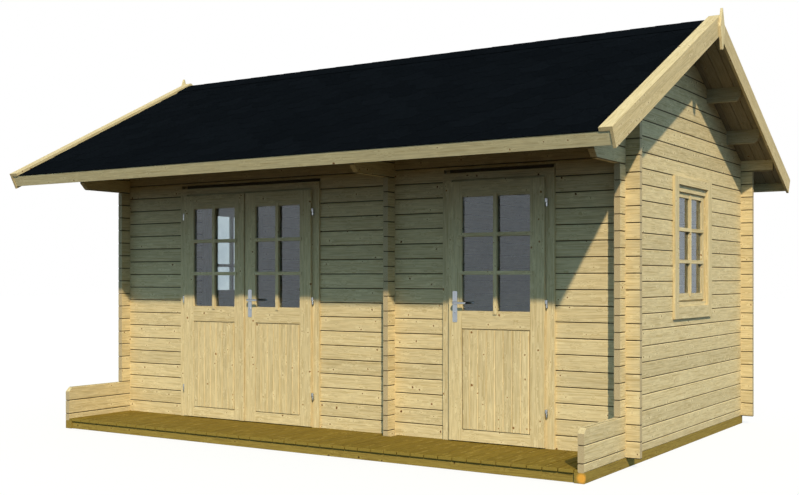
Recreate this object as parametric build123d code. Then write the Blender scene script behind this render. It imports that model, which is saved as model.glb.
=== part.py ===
from build123d import *
import math
import os

# A one-room-deep garden log cabin with two rooms side by side and an open veranda along its front.
# Frame: X runs along the front (right is +X), Y runs from front to back, Z is up. The origin is on
# the ground at the centre of the footprint, straight under the ridge. Sizes are in millimetres.

# ---- Logs ----
log_height = 114.0
log_thickness = 44.0
log_projection = 100.0  # how far crossed log ends stand out past a wall's face
seam_groove = 6.5  # depth of the V that two logs' chamfered edges make at a seam
level_margin = 0.001  # two levels nearer than this are the same seam

# ---- Plan ----
cabin_width = 4800.0  # over the outer faces of the two gable walls
room_depth = 2800.0  # over the outer faces of the front and back walls
veranda_depth = 700.0
partition_x = 508.0  # middle of the wall between the two rooms
rail_logs = 2.5  # log courses in the low walls that close the veranda's ends
rail_chamfer = 38.0

# ---- Foundation, floors and deck ----
foundation_height = 68.0
foundation_width = 70.0
floor_thickness = 18.0
deck_top = 85.0
deck_thickness = 22.0
deck_nose = 15.0  # deck boards past the front beam
joist_spacing = 540.0

# ---- Roof ----
ridge_height = 3198.0  # underside of the roof boards at the ridge
roof_pitch = 27.0
eaves_overhang = 330.0  # to the face of the fascia boards
left_overhang = 290.0
right_overhang = 330.0
roof_board = 18.0
shingle_thickness = 6.0
shingle_overhang = 3.0
ridge_strip_width = 190.0  # down each slope
mitre_gap = 0.4  # between two boards that meet at the ridge
fascia_height = 92.0
fascia_thickness = 20.0
barge_height = 110.0
barge_thickness = 20.0
barge_nose = 5.0  # barge and cap boards past the fascia
cap_width = 90.0
cap_thickness = 26.0
finial_thickness = 18.0
finial_middle_drop = 45.0  # from the roof boards' ridge down to the finial's widest point
finial_up = 141.0  # from the widest point to the tip
finial_down = 168.0  # from the widest point to the foot
finial_tip_width = 10.0
finial_middle_width = 106.0
finial_foot_width = 24.0

# ---- Purlins and the brackets that carry the eaves ----
purlin_height = 103.0  # on its middle line, after planing to the roof
upper_purlin_y = 750.0
lower_purlin_y = 1300.0
purlin_setback = 34.0  # from a purlin's end to the barge board
purlin_chamfer = 45.0
bracket_reach = 542.0  # from the front wall's face to the bracket's front edge
bracket_course = 17.5  # courses below the brackets
bracket_chamfer = 55.0

# ---- Doors ----
single_door_x = 1425.0
double_door_x = -947.0
single_leaf_width = 780.0
double_leaf_width = 691.0
leaf_gap = 6.0  # between the two leaves of the double door
leaf_top = 2003.0
sill_clearance = 6.0
casing_width = 66.0  # casing seen beside a leaf
casing_thickness = 20.0
casing_lap = 30.0  # casing over the ends of the logs
head_casing_top = 2070.0
head_slot = 29.0  # settling slot over the head casing
head_slot_depth = 36.0
leaf_reveal = 16.0  # open over a leaf, up to the head casing
leaf_lip = 13.0  # leaf's front lip over the jamb
lip_thickness = 20.0
leaf_thickness = 44.0
leaf_clearance = 6.0
lip_clearance = 5.0
stile_width = 112.0
glass_bottom = 1050.0
top_rail = 115.0
panel_bottom = 176.0
panel_top = 920.0
panel_thickness = 22.0  # from the leaf's front face
panel_stand = 6.0  # panel's face in front of the leaf's
panel_groove = 7.0  # width of the groove round a panel
panel_groove_depth = 14.0
glass_thickness = 6.0
cover_strip_width = 54.0
cover_strip_thickness = 12.0

# ---- Door hardware ----
hinge_heights = (335.0, 1107.0, 1826.0)
hinge_length = 60.0
hinge_radius = 7.0
hinge_pin_radius = 3.0
hinge_offset = 14.0  # from the leaf's edge to the hinge's axis
pin_clearance = 0.3
lever_height = 1108.0
lever_inset = 55.0  # from the leaf's edge to the spindle
lever_length = 120.0
lever_reach = 48.0  # lever bar's middle from the leaf's face
lever_depth = 18.0
lever_bar = 14.0
spindle_radius = 8.0
spindle_clearance = 2.0
plate_width = 40.0
plate_height = 230.0
plate_below_lever = 143.0  # plate's lower end below the spindle
plate_thickness = 3.0

# ---- Windows ----
window_width = 900.0  # over the casing
window_bottom = 980.0
window_top = 2065.0
window_casing = 95.0
window_head_casing = 62.0
window_casing_thickness = 20.0
window_lap = 45.0  # side casing over the ends of the logs
window_sill_lap = 30.0
sash_edge = 8.0  # frame seen between casing and sash
sash_head = 50.0
sash_foot = 30.0
sash_stile = 50.0
sash_top_rail = 40.0
sash_bottom_rail = 67.0
sash_thickness = 36.0
sash_setback = 15.0  # sash front behind the wall's outer face
drip_groove_height = 15.0  # groove along the foot of a sash
drip_groove_depth = 20.0

# ---- Sides of the cabin or of a leaf ----
LEFT, NEITHER, RIGHT = -1, 0, 1
SIDES = (LEFT, RIGHT)

# ---- Worked out from the sizes above ----
half_width = cabin_width / 2
half_depth = (room_depth + veranda_depth) / 2
y_back = half_depth  # outer face of the back wall
y_front = half_depth - room_depth  # outer face of the front wall
y_veranda = -half_depth
room_middle_y = (y_front + y_back) / 2
side_x = half_width - log_thickness / 2  # middle of a gable wall
cross_walls = (-side_x, partition_x, side_x)
floor_top = foundation_height + floor_thickness
pitch = math.radians(roof_pitch)
slope = math.tan(pitch)
eaves_length = (half_depth + eaves_overhang) / math.cos(pitch)  # down a slope, to the fascia's face
roof_ends = (-half_width - left_overhang, half_width + right_overhang)  # outer faces of the barge boards
roof_span = (roof_ends[0] + barge_thickness, roof_ends[1] - barge_thickness)
purlin_span = (roof_span[0] + purlin_setback, roof_span[1] - purlin_setback)
bracket_front = y_front - bracket_reach


def underside(y):
    """Height of the roof boards' underside at depth y."""
    return ridge_height - slope * abs(y)


def block(x, y, z):
    """Box between two corners, given as (low, high) for each direction."""
    size = (x[1] - x[0], y[1] - y[0], z[1] - z[0])
    return Pos(x[0], y[0], z[0]) * Box(*size, align=(Align.MIN, Align.MIN, Align.MIN))


def prism_x(points, x):
    """Section of (y, z) points drawn out along X."""
    face = Plane((x[0], 0, 0), x_dir=(0, 1, 0), z_dir=(1, 0, 0)) * Polygon(*points)
    return extrude(face, x[1] - x[0], dir=(1, 0, 0))


def prism_y(points, y):
    """Section of (x, z) points drawn out along Y."""
    face = Plane((0, y[0], 0), x_dir=(1, 0, 0), z_dir=(0, -1, 0)) * Polygon(*points)
    return extrude(face, y[1] - y[0], dir=(0, 1, 0))


def rod_y(x, z, radius, y):
    """Round rod along Y."""
    face = Plane((x, y[0], z), x_dir=(1, 0, 0), z_dir=(0, -1, 0)) * Circle(radius)
    return extrude(face, y[1] - y[0], dir=(0, 1, 0))


def rod_z(x, y, radius, z):
    """Upright round rod."""
    return Pos(x, y, z[0]) * extrude(Circle(radius), z[1] - z[0])


def cut(piece, tools):
    """A piece less its cutters, as one part however many solids are left."""
    left = piece - tools if tools else piece
    return Part(left.solids())


def mirrored(solid):
    """The same piece on the other side of the cabin."""
    return mirror(solid, about=Plane.YZ)


def sky():
    """Everything above the roof boards' underside, which the logs are cut to."""
    reach = 2 * half_depth
    top = 2 * ridge_height
    points = [(-reach, underside(reach)), (0, ridge_height), (reach, underside(reach)),
              (reach, top), (-reach, top)]
    return prism_x(points, (2 * roof_ends[0], 2 * roof_ends[1]))


SKY = sky()


# ---- Log walls ----
def seams(first, low, high):
    """Heights of the seams from low to high in a wall whose bottom log is `first` of a log high."""
    start = math.ceil((low - level_margin - foundation_height) / log_height - first)
    stop = math.floor((high + level_margin - foundation_height) / log_height - first)
    return [foundation_height + (first + course) * log_height for course in range(start, stop + 1)]


def seam_over_ridge(first):
    """Lowest seam above the ridge, where a wall ends before it is cut to the roof."""
    return seams(first, ridge_height, ridge_height + log_height)[-1]


def log_section(face, z, first):
    """Section of stacked logs with chamfered edges, between face and face + log_thickness."""
    near, far = face, face + log_thickness
    inner_seams = [seam for seam in seams(first, *z) if z[0] + level_margin < seam < z[1] - level_margin]
    side = []
    for seam in [z[0]] + inner_seams + [z[1]]:
        side += [(seam_groove, seam - seam_groove), (0, seam), (seam_groove, seam + seam_groove)]
    side = side[1:-1]
    right = [(far - seam_groove + depth, height) for depth, height in side]
    left = [(near + seam_groove - depth, height) for depth, height in reversed(side)]
    return right + left


def seam_notches(x, y, z, first):
    """What crossing logs take out of a wall: half a log's height at each of the wall's own seams."""
    quarter = log_height / 4
    return [block(x, y, (seam - quarter, seam + quarter)) for seam in seams(first, *z)]


def long_wall(x, face, z):
    """Logs along X from a whole first log, notched round the gable walls and the partition."""
    y = (face, face + log_thickness)
    notches = []
    for middle in cross_walls:
        if x[0] < middle < x[1]:
            notches += seam_notches((middle - log_thickness / 2, middle + log_thickness / 2), y, z, 0)
    return cut(prism_x(log_section(face, z, 0), x), notches)


def cross_wall(middle, y, z):
    """Logs along Y from a half first log, notched round the front and back walls."""
    x = (middle - log_thickness / 2, middle + log_thickness / 2)
    notches = []
    for face in (y_front, y_back - log_thickness):
        if y[0] < face < y[1]:
            notches += seam_notches(x, (face, face + log_thickness), z, 0.5)
    return cut(prism_y(log_section(x[0], z, 0.5), y), notches)


# ---- Doors: openings, frames and leaves ----
def door_span(middle, leaves):
    """Outer edges of a door's leaf or pair of leaves."""
    width = single_leaf_width if leaves == 1 else 2 * double_leaf_width + leaf_gap
    return middle - width / 2, middle + width / 2


DOORS = (door_span(single_door_x, 1), door_span(double_door_x, 2))
inside_top = leaf_top - leaf_lip  # underside of the head
head_casing_foot = leaf_top + leaf_reveal
head_notch_top = head_casing_top + head_slot
leaf_bottom = floor_top + sill_clearance
leaf_rear = y_front - casing_thickness - lip_clearance  # back of the leaf's lip
leaf_front = leaf_rear - lip_thickness
leaf_back = leaf_front + leaf_thickness


def casing_span(span):
    return span[0] - casing_width, span[1] + casing_width


def log_opening(span):
    """Edges of the hole in the logs for a door."""
    low, high = casing_span(span)
    return low + casing_lap, high - casing_lap


def clear_span(span):
    """Edges of the way through between the jambs."""
    return span[0] + leaf_lip, span[1] - leaf_lip


def jamb_pair(span):
    """Two upright jambs that grip the log ends between an outer and an inner casing."""
    jambs = []
    faces = (y_front, y_front + log_thickness)
    for outer, log_end, clear in zip(casing_span(span), log_opening(span), clear_span(span)):
        board = tuple(sorted((outer, clear)))
        core = tuple(sorted((log_end, clear)))
        jamb = block(core, faces, (foundation_height, inside_top))
        jamb += block(board, (faces[0] - casing_thickness, faces[0]), (deck_top, head_casing_foot))
        jamb += block(board, (faces[1], faces[1] + casing_thickness), (floor_top, inside_top))
        jambs.append(jamb)
    return jambs


def door_head(span):
    """Head over a door, with the settling slot open above its outer casing."""
    faces = (y_front, y_front + log_thickness)
    head = block(log_opening(span), (faces[0] + head_slot_depth, faces[1]), (inside_top, head_notch_top))
    head += block(log_opening(span), (faces[0], faces[0] + head_slot_depth), (inside_top, head_casing_top))
    for low, foot in ((faces[0] - casing_thickness, head_casing_foot), (faces[1], inside_top)):
        head += block(casing_span(span), (low, low + casing_thickness), (foot, head_casing_top))
    return head


def door_sill(span):
    return block(clear_span(span), (y_front, y_front + log_thickness), (foundation_height, floor_top))


def door_leaf(span, meeting):
    """Framed leaf: lip, body, glazed opening and boarded panel. meeting is the side (LEFT, RIGHT or
    NEITHER) on which it meets another leaf, where the body comes nearly to the lip's edge."""
    body_low = span[0] + (leaf_gap / 2 if meeting == LEFT else leaf_lip + leaf_clearance)
    body_high = span[1] - (leaf_gap / 2 if meeting == RIGHT else leaf_lip + leaf_clearance)
    leaf = block(span, (leaf_front, leaf_rear), (leaf_bottom, leaf_top))
    leaf += block((body_low, body_high), (leaf_rear, leaf_back), (leaf_bottom, inside_top - leaf_clearance))
    opening_x = (span[0] + stile_width, span[1] - stile_width)
    leaf -= block(opening_x, (leaf_front, leaf_back), (glass_bottom, leaf_top - top_rail))
    groove_foot = leaf_front + panel_groove_depth
    for y in ((leaf_front, groove_foot), (leaf_front + panel_thickness, leaf_back)):
        leaf -= block(opening_x, y, (panel_bottom, panel_top))
    field_x = (opening_x[0] + panel_groove, opening_x[1] - panel_groove)
    field_z = (panel_bottom + panel_groove, panel_top - panel_groove)
    return leaf + block(field_x, (leaf_front - panel_stand, groove_foot), field_z)


def leaf_glass(span):
    middle = (leaf_front + leaf_back) / 2
    y = (middle - glass_thickness / 2, middle + glass_thickness / 2)
    x = (span[0] + stile_width, span[1] - stile_width)
    return block(x, y, (glass_bottom, leaf_top - top_rail))


def cover_strip(span):
    """Strip on the meeting edge of the leaf that opens second."""
    y = (leaf_front - cover_strip_thickness, leaf_front)
    return block((span[1] - cover_strip_width, span[1]), y, (leaf_bottom, leaf_top))


# ---- Hinges and lever handles ----
def hinge_x(span, side):
    """Hinge axis beside a leaf, on its LEFT or RIGHT."""
    return span[1] + hinge_offset if side == RIGHT else span[0] - hinge_offset


hinge_y = (leaf_front + leaf_rear) / 2


def hinge_halves_on_frame(span, side):
    """Lower barrels with their pins, each on a short arm from the casing."""
    x = hinge_x(span, side)
    halves = []
    for middle in hinge_heights:
        low = middle - hinge_length / 2
        half = rod_z(x, hinge_y, hinge_radius, (low, middle - pin_clearance))
        half += rod_z(x, hinge_y, hinge_pin_radius, (middle - pin_clearance, middle + hinge_length / 3))
        arm_x = (x - hinge_radius / 2, x + hinge_radius / 2)
        half += block(arm_x, (hinge_y, y_front - casing_thickness), (low, middle - pin_clearance))
        halves.append(half)
    return halves


def hinge_halves_on_leaf(span, side):
    """Upper barrels, bored for the pins, each on a short arm from the leaf's edge."""
    x = hinge_x(span, side)
    edge = span[1] if side == RIGHT else span[0]
    halves = []
    for middle in hinge_heights:
        z = (middle + pin_clearance, middle + hinge_length / 2)
        half = rod_z(x, hinge_y, hinge_radius, z)
        arm_y = (hinge_y - hinge_radius / 2, hinge_y + hinge_radius / 2)
        half += block(tuple(sorted((edge, x))), arm_y, z)
        bore_top = middle + hinge_length / 3 + pin_clearance
        half -= rod_z(x, hinge_y, hinge_pin_radius + pin_clearance, (z[0], bore_top))
        halves.append(half)
    return halves


def lever_plates(x):
    """Long plates on both faces of the leaf, bored for the spindle."""
    plates = []
    for low in (leaf_front - plate_thickness, leaf_back):
        y = (low, low + plate_thickness)
        z_low = lever_height - plate_below_lever
        plate = block((x - plate_width / 2, x + plate_width / 2), y, (z_low, z_low + plate_height))
        plates.append(plate - rod_y(x, lever_height, spindle_radius + pin_clearance, y))
    return plates


def lever_handle(x):
    """Spindle through the leaf with a lever on each end; both levers point to +X."""
    front = leaf_front - lever_reach
    back = leaf_back + lever_reach
    handle = rod_y(x, lever_height, spindle_radius, (front, back))
    bar_x = (x - spindle_radius, x - spindle_radius + lever_length)
    bar_z = (lever_height - lever_depth / 2, lever_height + lever_depth / 2)
    for y in (front, back):
        handle += block(bar_x, (y - lever_bar / 2, y + lever_bar / 2), bar_z)
    return handle


def spindle_bore(x):
    return rod_y(x, lever_height, spindle_radius + spindle_clearance, (leaf_front, leaf_back))


# ---- Windows in the gable walls ----
window_y = (room_middle_y - window_width / 2, room_middle_y + window_width / 2)
window_z = (window_bottom, window_top)
window_hole_y = (window_y[0] + window_lap, window_y[1] - window_lap)
window_hole_z = (window_bottom + window_sill_lap, window_top)
frame_hole_y = (window_y[0] + window_casing + sash_edge, window_y[1] - window_casing - sash_edge)
frame_hole_z = (window_bottom + window_casing + sash_foot, window_top - window_head_casing - sash_head)
glass_y = (frame_hole_y[0] + sash_stile, frame_hole_y[1] - sash_stile)
glass_z = (frame_hole_z[0] + sash_bottom_rail, frame_hole_z[1] - sash_top_rail)
wall_x = (half_width - log_thickness, half_width)


def window_hole():
    return block(wall_x, window_hole_y, window_hole_z)


def window_frame():
    """Frame through the right gable wall with a casing on each face."""
    frame = block(wall_x, window_hole_y, window_hole_z)
    for low in (wall_x[0] - window_casing_thickness, wall_x[1]):
        frame += block((low, low + window_casing_thickness), window_y, window_z)
    through = (wall_x[0] - window_casing_thickness, wall_x[1] + window_casing_thickness)
    frame -= block(through, frame_hole_y, frame_hole_z)
    rebate_y = (window_y[0] + window_casing, window_y[1] - window_casing)
    rebate_z = (window_bottom + window_casing, window_top - window_head_casing)
    return frame - block((wall_x[1], through[1]), rebate_y, rebate_z)


sash_x = (half_width - sash_setback - sash_thickness, half_width - sash_setback)


def window_sash():
    sash = block(sash_x, frame_hole_y, frame_hole_z) - block(sash_x, glass_y, glass_z)
    groove_x = (sash_x[1] - drip_groove_depth, sash_x[1])
    groove_z = (frame_hole_z[0], frame_hole_z[0] + drip_groove_height)
    return sash - block(groove_x, frame_hole_y, groove_z)


def window_glass():
    middle = (sash_x[0] + sash_x[1]) / 2
    return block((middle - glass_thickness / 2, middle + glass_thickness / 2), glass_y, glass_z)


# ---- Roof pieces ----
def on_slope(side, along, out):
    """(y, z) at a distance down one slope and out from the roof boards' underside."""
    y = side * (along * math.cos(pitch) + out * math.sin(pitch))
    return y, ridge_height - along * math.sin(pitch) + out * math.cos(pitch)


def square_board(side, x, length, out):
    """Board down one slope, mitred at the ridge and cut square at its lower end."""
    top = mitre_gap / 2
    points = [(side * top, underside(top) + out[0] / math.cos(pitch)),
              on_slope(side, length, out[0]), on_slope(side, length, out[1]),
              (side * top, underside(top) + out[1] / math.cos(pitch))]
    return prism_x(points, x)


def both_slopes(x, length, out):
    return [square_board(side, x, length, out) for side in SIDES]


def fascia(side):
    """Board over the ends of the roof boards, square to the slope."""
    inner = eaves_length - fascia_thickness
    foot = roof_board - fascia_height
    points = [on_slope(side, inner, foot), on_slope(side, eaves_length, foot),
              on_slope(side, eaves_length, roof_board), on_slope(side, inner, roof_board)]
    return prism_x(points, roof_span)


def finial():
    """Board over the barge boards' meeting, widest at its middle and tapered to both ends."""
    middle = ridge_height - finial_middle_drop
    foot, waist, tip = finial_foot_width / 2, finial_middle_width / 2, finial_tip_width / 2
    points = [(-foot, middle - finial_down), (foot, middle - finial_down), (waist, middle),
              (tip, middle + finial_up), (-tip, middle + finial_up), (-waist, middle)]
    return prism_x(points, (roof_ends[1], roof_ends[1] + finial_thickness))


purlin_rows = (0.0, -upper_purlin_y, upper_purlin_y, -lower_purlin_y, lower_purlin_y,
               bracket_front + log_thickness / 2)


def purlin(y):
    """Log along X, chamfered under its ends; its top is planed to the roof afterwards."""
    low = underside(y) - purlin_height
    high = underside(y) + log_thickness
    left, right = purlin_span
    points = [(left + purlin_chamfer, low), (right - purlin_chamfer, low),
              (right, low + purlin_chamfer), (right, high), (left, high),
              (left, low + purlin_chamfer)]
    return prism_y(points, (y - log_thickness / 2, y + log_thickness / 2))


# ---- Levels at which the walls are split, each at a seam ----
head_level = seams(0, foundation_height, head_notch_top)[-1]
sill_level = seams(0.5, window_hole_z[0], window_top)[0]
rail_level = foundation_height + rail_logs * log_height
bracket_level = foundation_height + bracket_course * log_height
plate_level = seams(0, foundation_height, underside(y_back) - log_height / 3)[-1]
log_ends_x = (-half_width - log_projection, half_width + log_projection)
log_ends_y = (y_front - log_projection, y_back + log_projection)


def gable_rails():
    """Lowest logs of a gable wall, which run on forward as the veranda's low end wall."""
    rails = cross_wall(side_x, (y_veranda, log_ends_y[1]), (foundation_height, rail_level))
    corner = [(y_veranda, rail_level - rail_chamfer), (y_veranda + rail_chamfer, rail_level),
              (y_veranda, rail_level)]
    return cut(rails, [prism_x(corner, wall_x)])


def upper_cross_wall(middle):
    """Top of a gable wall or of the partition, with the bracket that carries the eaves."""
    wall = cross_wall(middle, (bracket_front, log_ends_y[1]), (bracket_level, seam_over_ridge(0.5)))
    x = (middle - log_thickness / 2, middle + log_thickness / 2)
    corner = [(bracket_front, bracket_level), (bracket_front + bracket_chamfer, bracket_level),
              (bracket_front, bracket_level + bracket_chamfer)]
    return cut(wall, [SKY, prism_x(corner, x)] + [purlin(y) for y in purlin_rows])


def gable_pieces():
    """Nodes of the right gable wall, from the ground up."""
    hole = window_hole()
    return {
        "gable_rail_logs": [gable_rails()],
        "gable_below_window": [cut(cross_wall(side_x, log_ends_y, (rail_level, sill_level)), [hole])],
        "gable_beside_window": [cut(cross_wall(side_x, log_ends_y, (sill_level, bracket_level)), [hole])],
        "gable_top": [cut(upper_cross_wall(side_x), [hole])],
    }


def front_wall_pieces():
    """Front wall beside, between and over the two doors."""
    single, double = (log_opening(span) for span in DOORS)
    lower = (foundation_height, head_level)
    top = long_wall(log_ends_x, y_front, (head_level, seam_over_ridge(0)))
    wall_y = (y_front, y_front + log_thickness)
    slot_y = (y_front, y_front + head_slot_depth)
    heads = []
    for span in DOORS:
        heads.append(block(log_opening(span), wall_y, (head_level, head_notch_top)))
        heads.append(block(casing_span(span), slot_y, (head_casing_top, head_notch_top)))
    return {
        "front_wall_left": [long_wall((log_ends_x[0], double[0]), y_front, lower)],
        "front_wall_middle": [long_wall((double[1], single[0]), y_front, lower)],
        "front_wall_right": [long_wall((single[1], log_ends_x[1]), y_front, lower)],
        "front_wall_over_doors": [cut(top, [SKY] + heads)],
    }


def partition_pieces():
    return {
        "partition_wall": [cross_wall(partition_x, log_ends_y, (foundation_height, bracket_level))],
        "partition_top": [upper_cross_wall(partition_x)],
    }


def back_wall_pieces():
    face = y_back - log_thickness
    plate = long_wall(purlin_span, face, (plate_level, seam_over_ridge(0)))
    return {
        "back_wall": [long_wall(log_ends_x, face, (foundation_height, plate_level))],
        "back_wall_plate": [cut(plate, [SKY])],
    }


def ground_pieces():
    """Foundation beams, joists, the floors of both rooms and the veranda's deck."""
    inner_x = (-half_width + foundation_width, half_width - foundation_width)
    beam_z = (0, foundation_height)
    side_beams = [block((x, x + foundation_width), (y_veranda, y_back), beam_z)
                  for x in (-half_width, half_width - foundation_width)]
    bays = max(1, round((room_depth - foundation_width) / joist_spacing))
    step = (room_depth - foundation_width) / bays
    cross_beams = [block(inner_x, (y_front + k * step, y_front + k * step + foundation_width), beam_z)
                   for k in range(bays + 1)]
    joist_z = (0, deck_top - deck_thickness)
    front_beam = y_veranda + deck_nose
    ledger = y_front - foundation_width
    middle = (front_beam + ledger) / 2
    joists = [block(inner_x, (y, y + foundation_width), joist_z) for y in (front_beam, middle, ledger)]
    inner_face = half_width - log_thickness
    deck = block((-inner_face, inner_face), (y_veranda, y_front), (joist_z[1], deck_top))
    log_end = (partition_x - log_thickness / 2, partition_x + log_thickness / 2)
    log_foot = block(log_end, (y_front - log_projection, y_front), (foundation_height, deck_top))
    deck = cut(deck, [log_foot] + side_beams)
    room_y = (y_front + log_thickness, y_back - log_thickness)
    floor_z = (foundation_height, floor_top)
    floors = [block(x, room_y, floor_z) for x in ((-inner_face, log_end[0]), (log_end[1], inner_face))]
    return {
        "foundation_side_beams": side_beams,
        "foundation_cross_beams": cross_beams,
        "veranda_joists": joists,
        "veranda_deck": [deck],
        "room_floors": floors,
    }


def at_left_end(solid):
    """A piece of the roof's right end, mirrored to its left end."""
    return Pos(right_overhang - left_overhang, 0, 0) * mirrored(solid)


def roof_pieces():
    cap_x = (roof_ends[1] - cap_width, roof_ends[1])
    shingle_x = (roof_ends[0] + cap_width, cap_x[0])
    shingle_out = (roof_board, roof_board + shingle_thickness)
    strip_out = (shingle_out[1], shingle_out[1] + shingle_thickness)
    strip = both_slopes(shingle_x, ridge_strip_width, strip_out)
    strip_joint = [(-mitre_gap, ridge_height + strip_out[0] / math.cos(pitch)),
                   (mitre_gap, ridge_height + strip_out[0] / math.cos(pitch)),
                   (0, ridge_height + strip_out[1] / math.cos(pitch))]
    barge_length = eaves_length + barge_nose
    barge_x = (roof_span[1], roof_ends[1])
    barge = both_slopes(barge_x, barge_length, (roof_board - barge_height, roof_board))
    cap = both_slopes(cap_x, barge_length, (roof_board, roof_board + cap_thickness))
    return {
        "roof_boards": both_slopes(roof_span, eaves_length - fascia_thickness, (0, roof_board)),
        "shingles": both_slopes(shingle_x, eaves_length + shingle_overhang, shingle_out),
        "ridge_strip": [strip[0] + strip[1] + prism_x(strip_joint, shingle_x)],
        "purlins": [purlin(y) - SKY for y in purlin_rows],
        "fascia_boards": [fascia(side) for side in SIDES],
        "barge_boards": barge + [at_left_end(board) for board in barge],
        "cap_boards": cap + [at_left_end(board) for board in cap],
        "finials": [finial(), at_left_end(finial())],
    }


def door_pieces():
    """Frames, leaves, glass and hardware of the single door and the double door."""
    single, double = DOORS
    left = (double[0], double[0] + double_leaf_width)
    right = (double[1] - double_leaf_width, double[1])
    single_lever = single[0] + lever_inset
    right_lever = right[0] + lever_inset
    return {
        "door_jambs": jamb_pair(single) + jamb_pair(double),
        "door_heads": [door_head(span) for span in DOORS],
        "door_sills": [door_sill(span) for span in DOORS],
        "hinge_halves_on_frames": hinge_halves_on_frame(single, RIGHT)
        + hinge_halves_on_frame(left, LEFT) + hinge_halves_on_frame(right, RIGHT),
        "single_door_leaf": [door_leaf(single, NEITHER) - spindle_bore(single_lever)],
        "single_door_glass": [leaf_glass(single)],
        "single_door_hardware": hinge_halves_on_leaf(single, RIGHT) + lever_plates(single_lever),
        "single_door_lever": [lever_handle(single_lever)],
        "double_door_left_leaf": [door_leaf(left, RIGHT) + cover_strip(left)],
        "double_door_left_glass": [leaf_glass(left)],
        "double_door_left_hardware": hinge_halves_on_leaf(left, LEFT),
        "double_door_right_leaf": [door_leaf(right, LEFT) - spindle_bore(right_lever)],
        "double_door_right_glass": [leaf_glass(right)],
        "double_door_right_hardware": hinge_halves_on_leaf(right, RIGHT) + lever_plates(right_lever),
        "double_door_lever": [lever_handle(right_lever)],
    }


def window_pieces():
    pieces = {}
    for name, make in (("window_frames", window_frame), ("window_sashes", window_sash),
                       ("window_glass", window_glass)):
        pieces[name] = [make(), mirrored(make())]
    return pieces


def cabin():
    """Every node's name with its solids."""
    nodes = {}
    nodes.update(ground_pieces())
    nodes.update(front_wall_pieces())
    nodes.update(back_wall_pieces())
    nodes.update(partition_pieces())
    for name, solids in gable_pieces().items():
        nodes["right_" + name] = solids
        nodes["left_" + name] = [mirrored(solid) for solid in solids]
    nodes.update(roof_pieces())
    nodes.update(door_pieces())
    nodes.update(window_pieces())
    return nodes


os.makedirs("parts", exist_ok=True)
for node_name, pieces in cabin().items():
    solids = [solid for piece in pieces for solid in piece.solids()]
    export_step(Compound(children=solids) if len(solids) > 1 else solids[0], f"parts/{node_name}.step")
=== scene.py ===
"""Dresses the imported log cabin: finishes for its logs, boards, felt, glass and metal, and the small
pieces that the solids leave out. All sizes are in metres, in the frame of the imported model: X runs along
the front, Y from front to back, and Z is up from the ground."""

import math
import random

import bmesh
import bpy
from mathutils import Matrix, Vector


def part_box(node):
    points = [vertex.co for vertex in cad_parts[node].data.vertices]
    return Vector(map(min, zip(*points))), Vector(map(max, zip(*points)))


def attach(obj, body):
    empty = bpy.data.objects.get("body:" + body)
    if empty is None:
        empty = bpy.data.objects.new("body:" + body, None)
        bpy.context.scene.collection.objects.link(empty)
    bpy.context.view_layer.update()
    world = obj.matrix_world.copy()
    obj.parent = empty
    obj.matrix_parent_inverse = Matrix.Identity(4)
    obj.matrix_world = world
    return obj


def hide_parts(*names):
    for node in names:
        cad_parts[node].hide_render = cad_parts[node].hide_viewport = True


bl_info = {
    "name": "Log Cabin",
    "version": (1, 0, 0),
    "blender": (4, 5, 0),
    "location": "View3D > Sidebar > Cabin",
    "description": "Boards, shingles, glazing bars, door metal and finishes for a log cabin with a veranda",
    "category": "Object",
}

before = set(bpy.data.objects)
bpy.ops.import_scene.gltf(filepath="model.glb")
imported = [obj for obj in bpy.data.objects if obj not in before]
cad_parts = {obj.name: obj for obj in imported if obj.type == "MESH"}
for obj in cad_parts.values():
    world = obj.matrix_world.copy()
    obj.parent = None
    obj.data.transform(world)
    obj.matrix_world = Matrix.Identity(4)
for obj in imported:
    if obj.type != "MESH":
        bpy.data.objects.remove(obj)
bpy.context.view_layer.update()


def linear(hex_colour):
    """An sRGB hex colour as the linear colour that a socket takes."""
    parts = [int(hex_colour[k:k + 2], 16) / 255 for k in (1, 3, 5)]
    return tuple(p / 12.92 if p <= 0.04045 else ((p + 0.055) / 1.055) ** 2.4 for p in parts) + (1.0,)


def palette(**shades):
    """The colours of one finish, from sRGB hex values."""
    return {name: linear(hex_colour) for name, hex_colour in shades.items()}


GAP = 0.0003  # between two pieces that lie on each other
WELD_REACH = 0.00005  # corners of a solid's mesh nearer than this are one
METAL_EDGE = 0.0004  # easing of pressed and turned metal edges
BAR_EDGE = 0.001  # easing of glazing bars and floor boards
DECK_EDGE = 0.002  # easing of deck boards
WALL_GAP = 0.001  # from a deck board's end to the log ends behind it
TURNED_SIDES = 24  # faces round a turned piece
SHARP = math.radians(35)  # edges that turn more than this stay sharp on smooth metal
AXES = {"X": (1, 2, 0), "Y": (0, 2, 1), "Z": (0, 1, 2)}  # the two axes across a bar, then the one along it
LEAVES = {  # leaf: its body, and the side (-1, 0 or 1) on which it meets another leaf
    "single_door": ("single_leaf", 0),
    "double_door_left": ("left_leaf", 1),
    "double_door_right": ("right_leaf", -1),
}
LEVERS = {"single_door_lever": "single_door", "double_door_lever": "double_door_right"}

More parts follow.
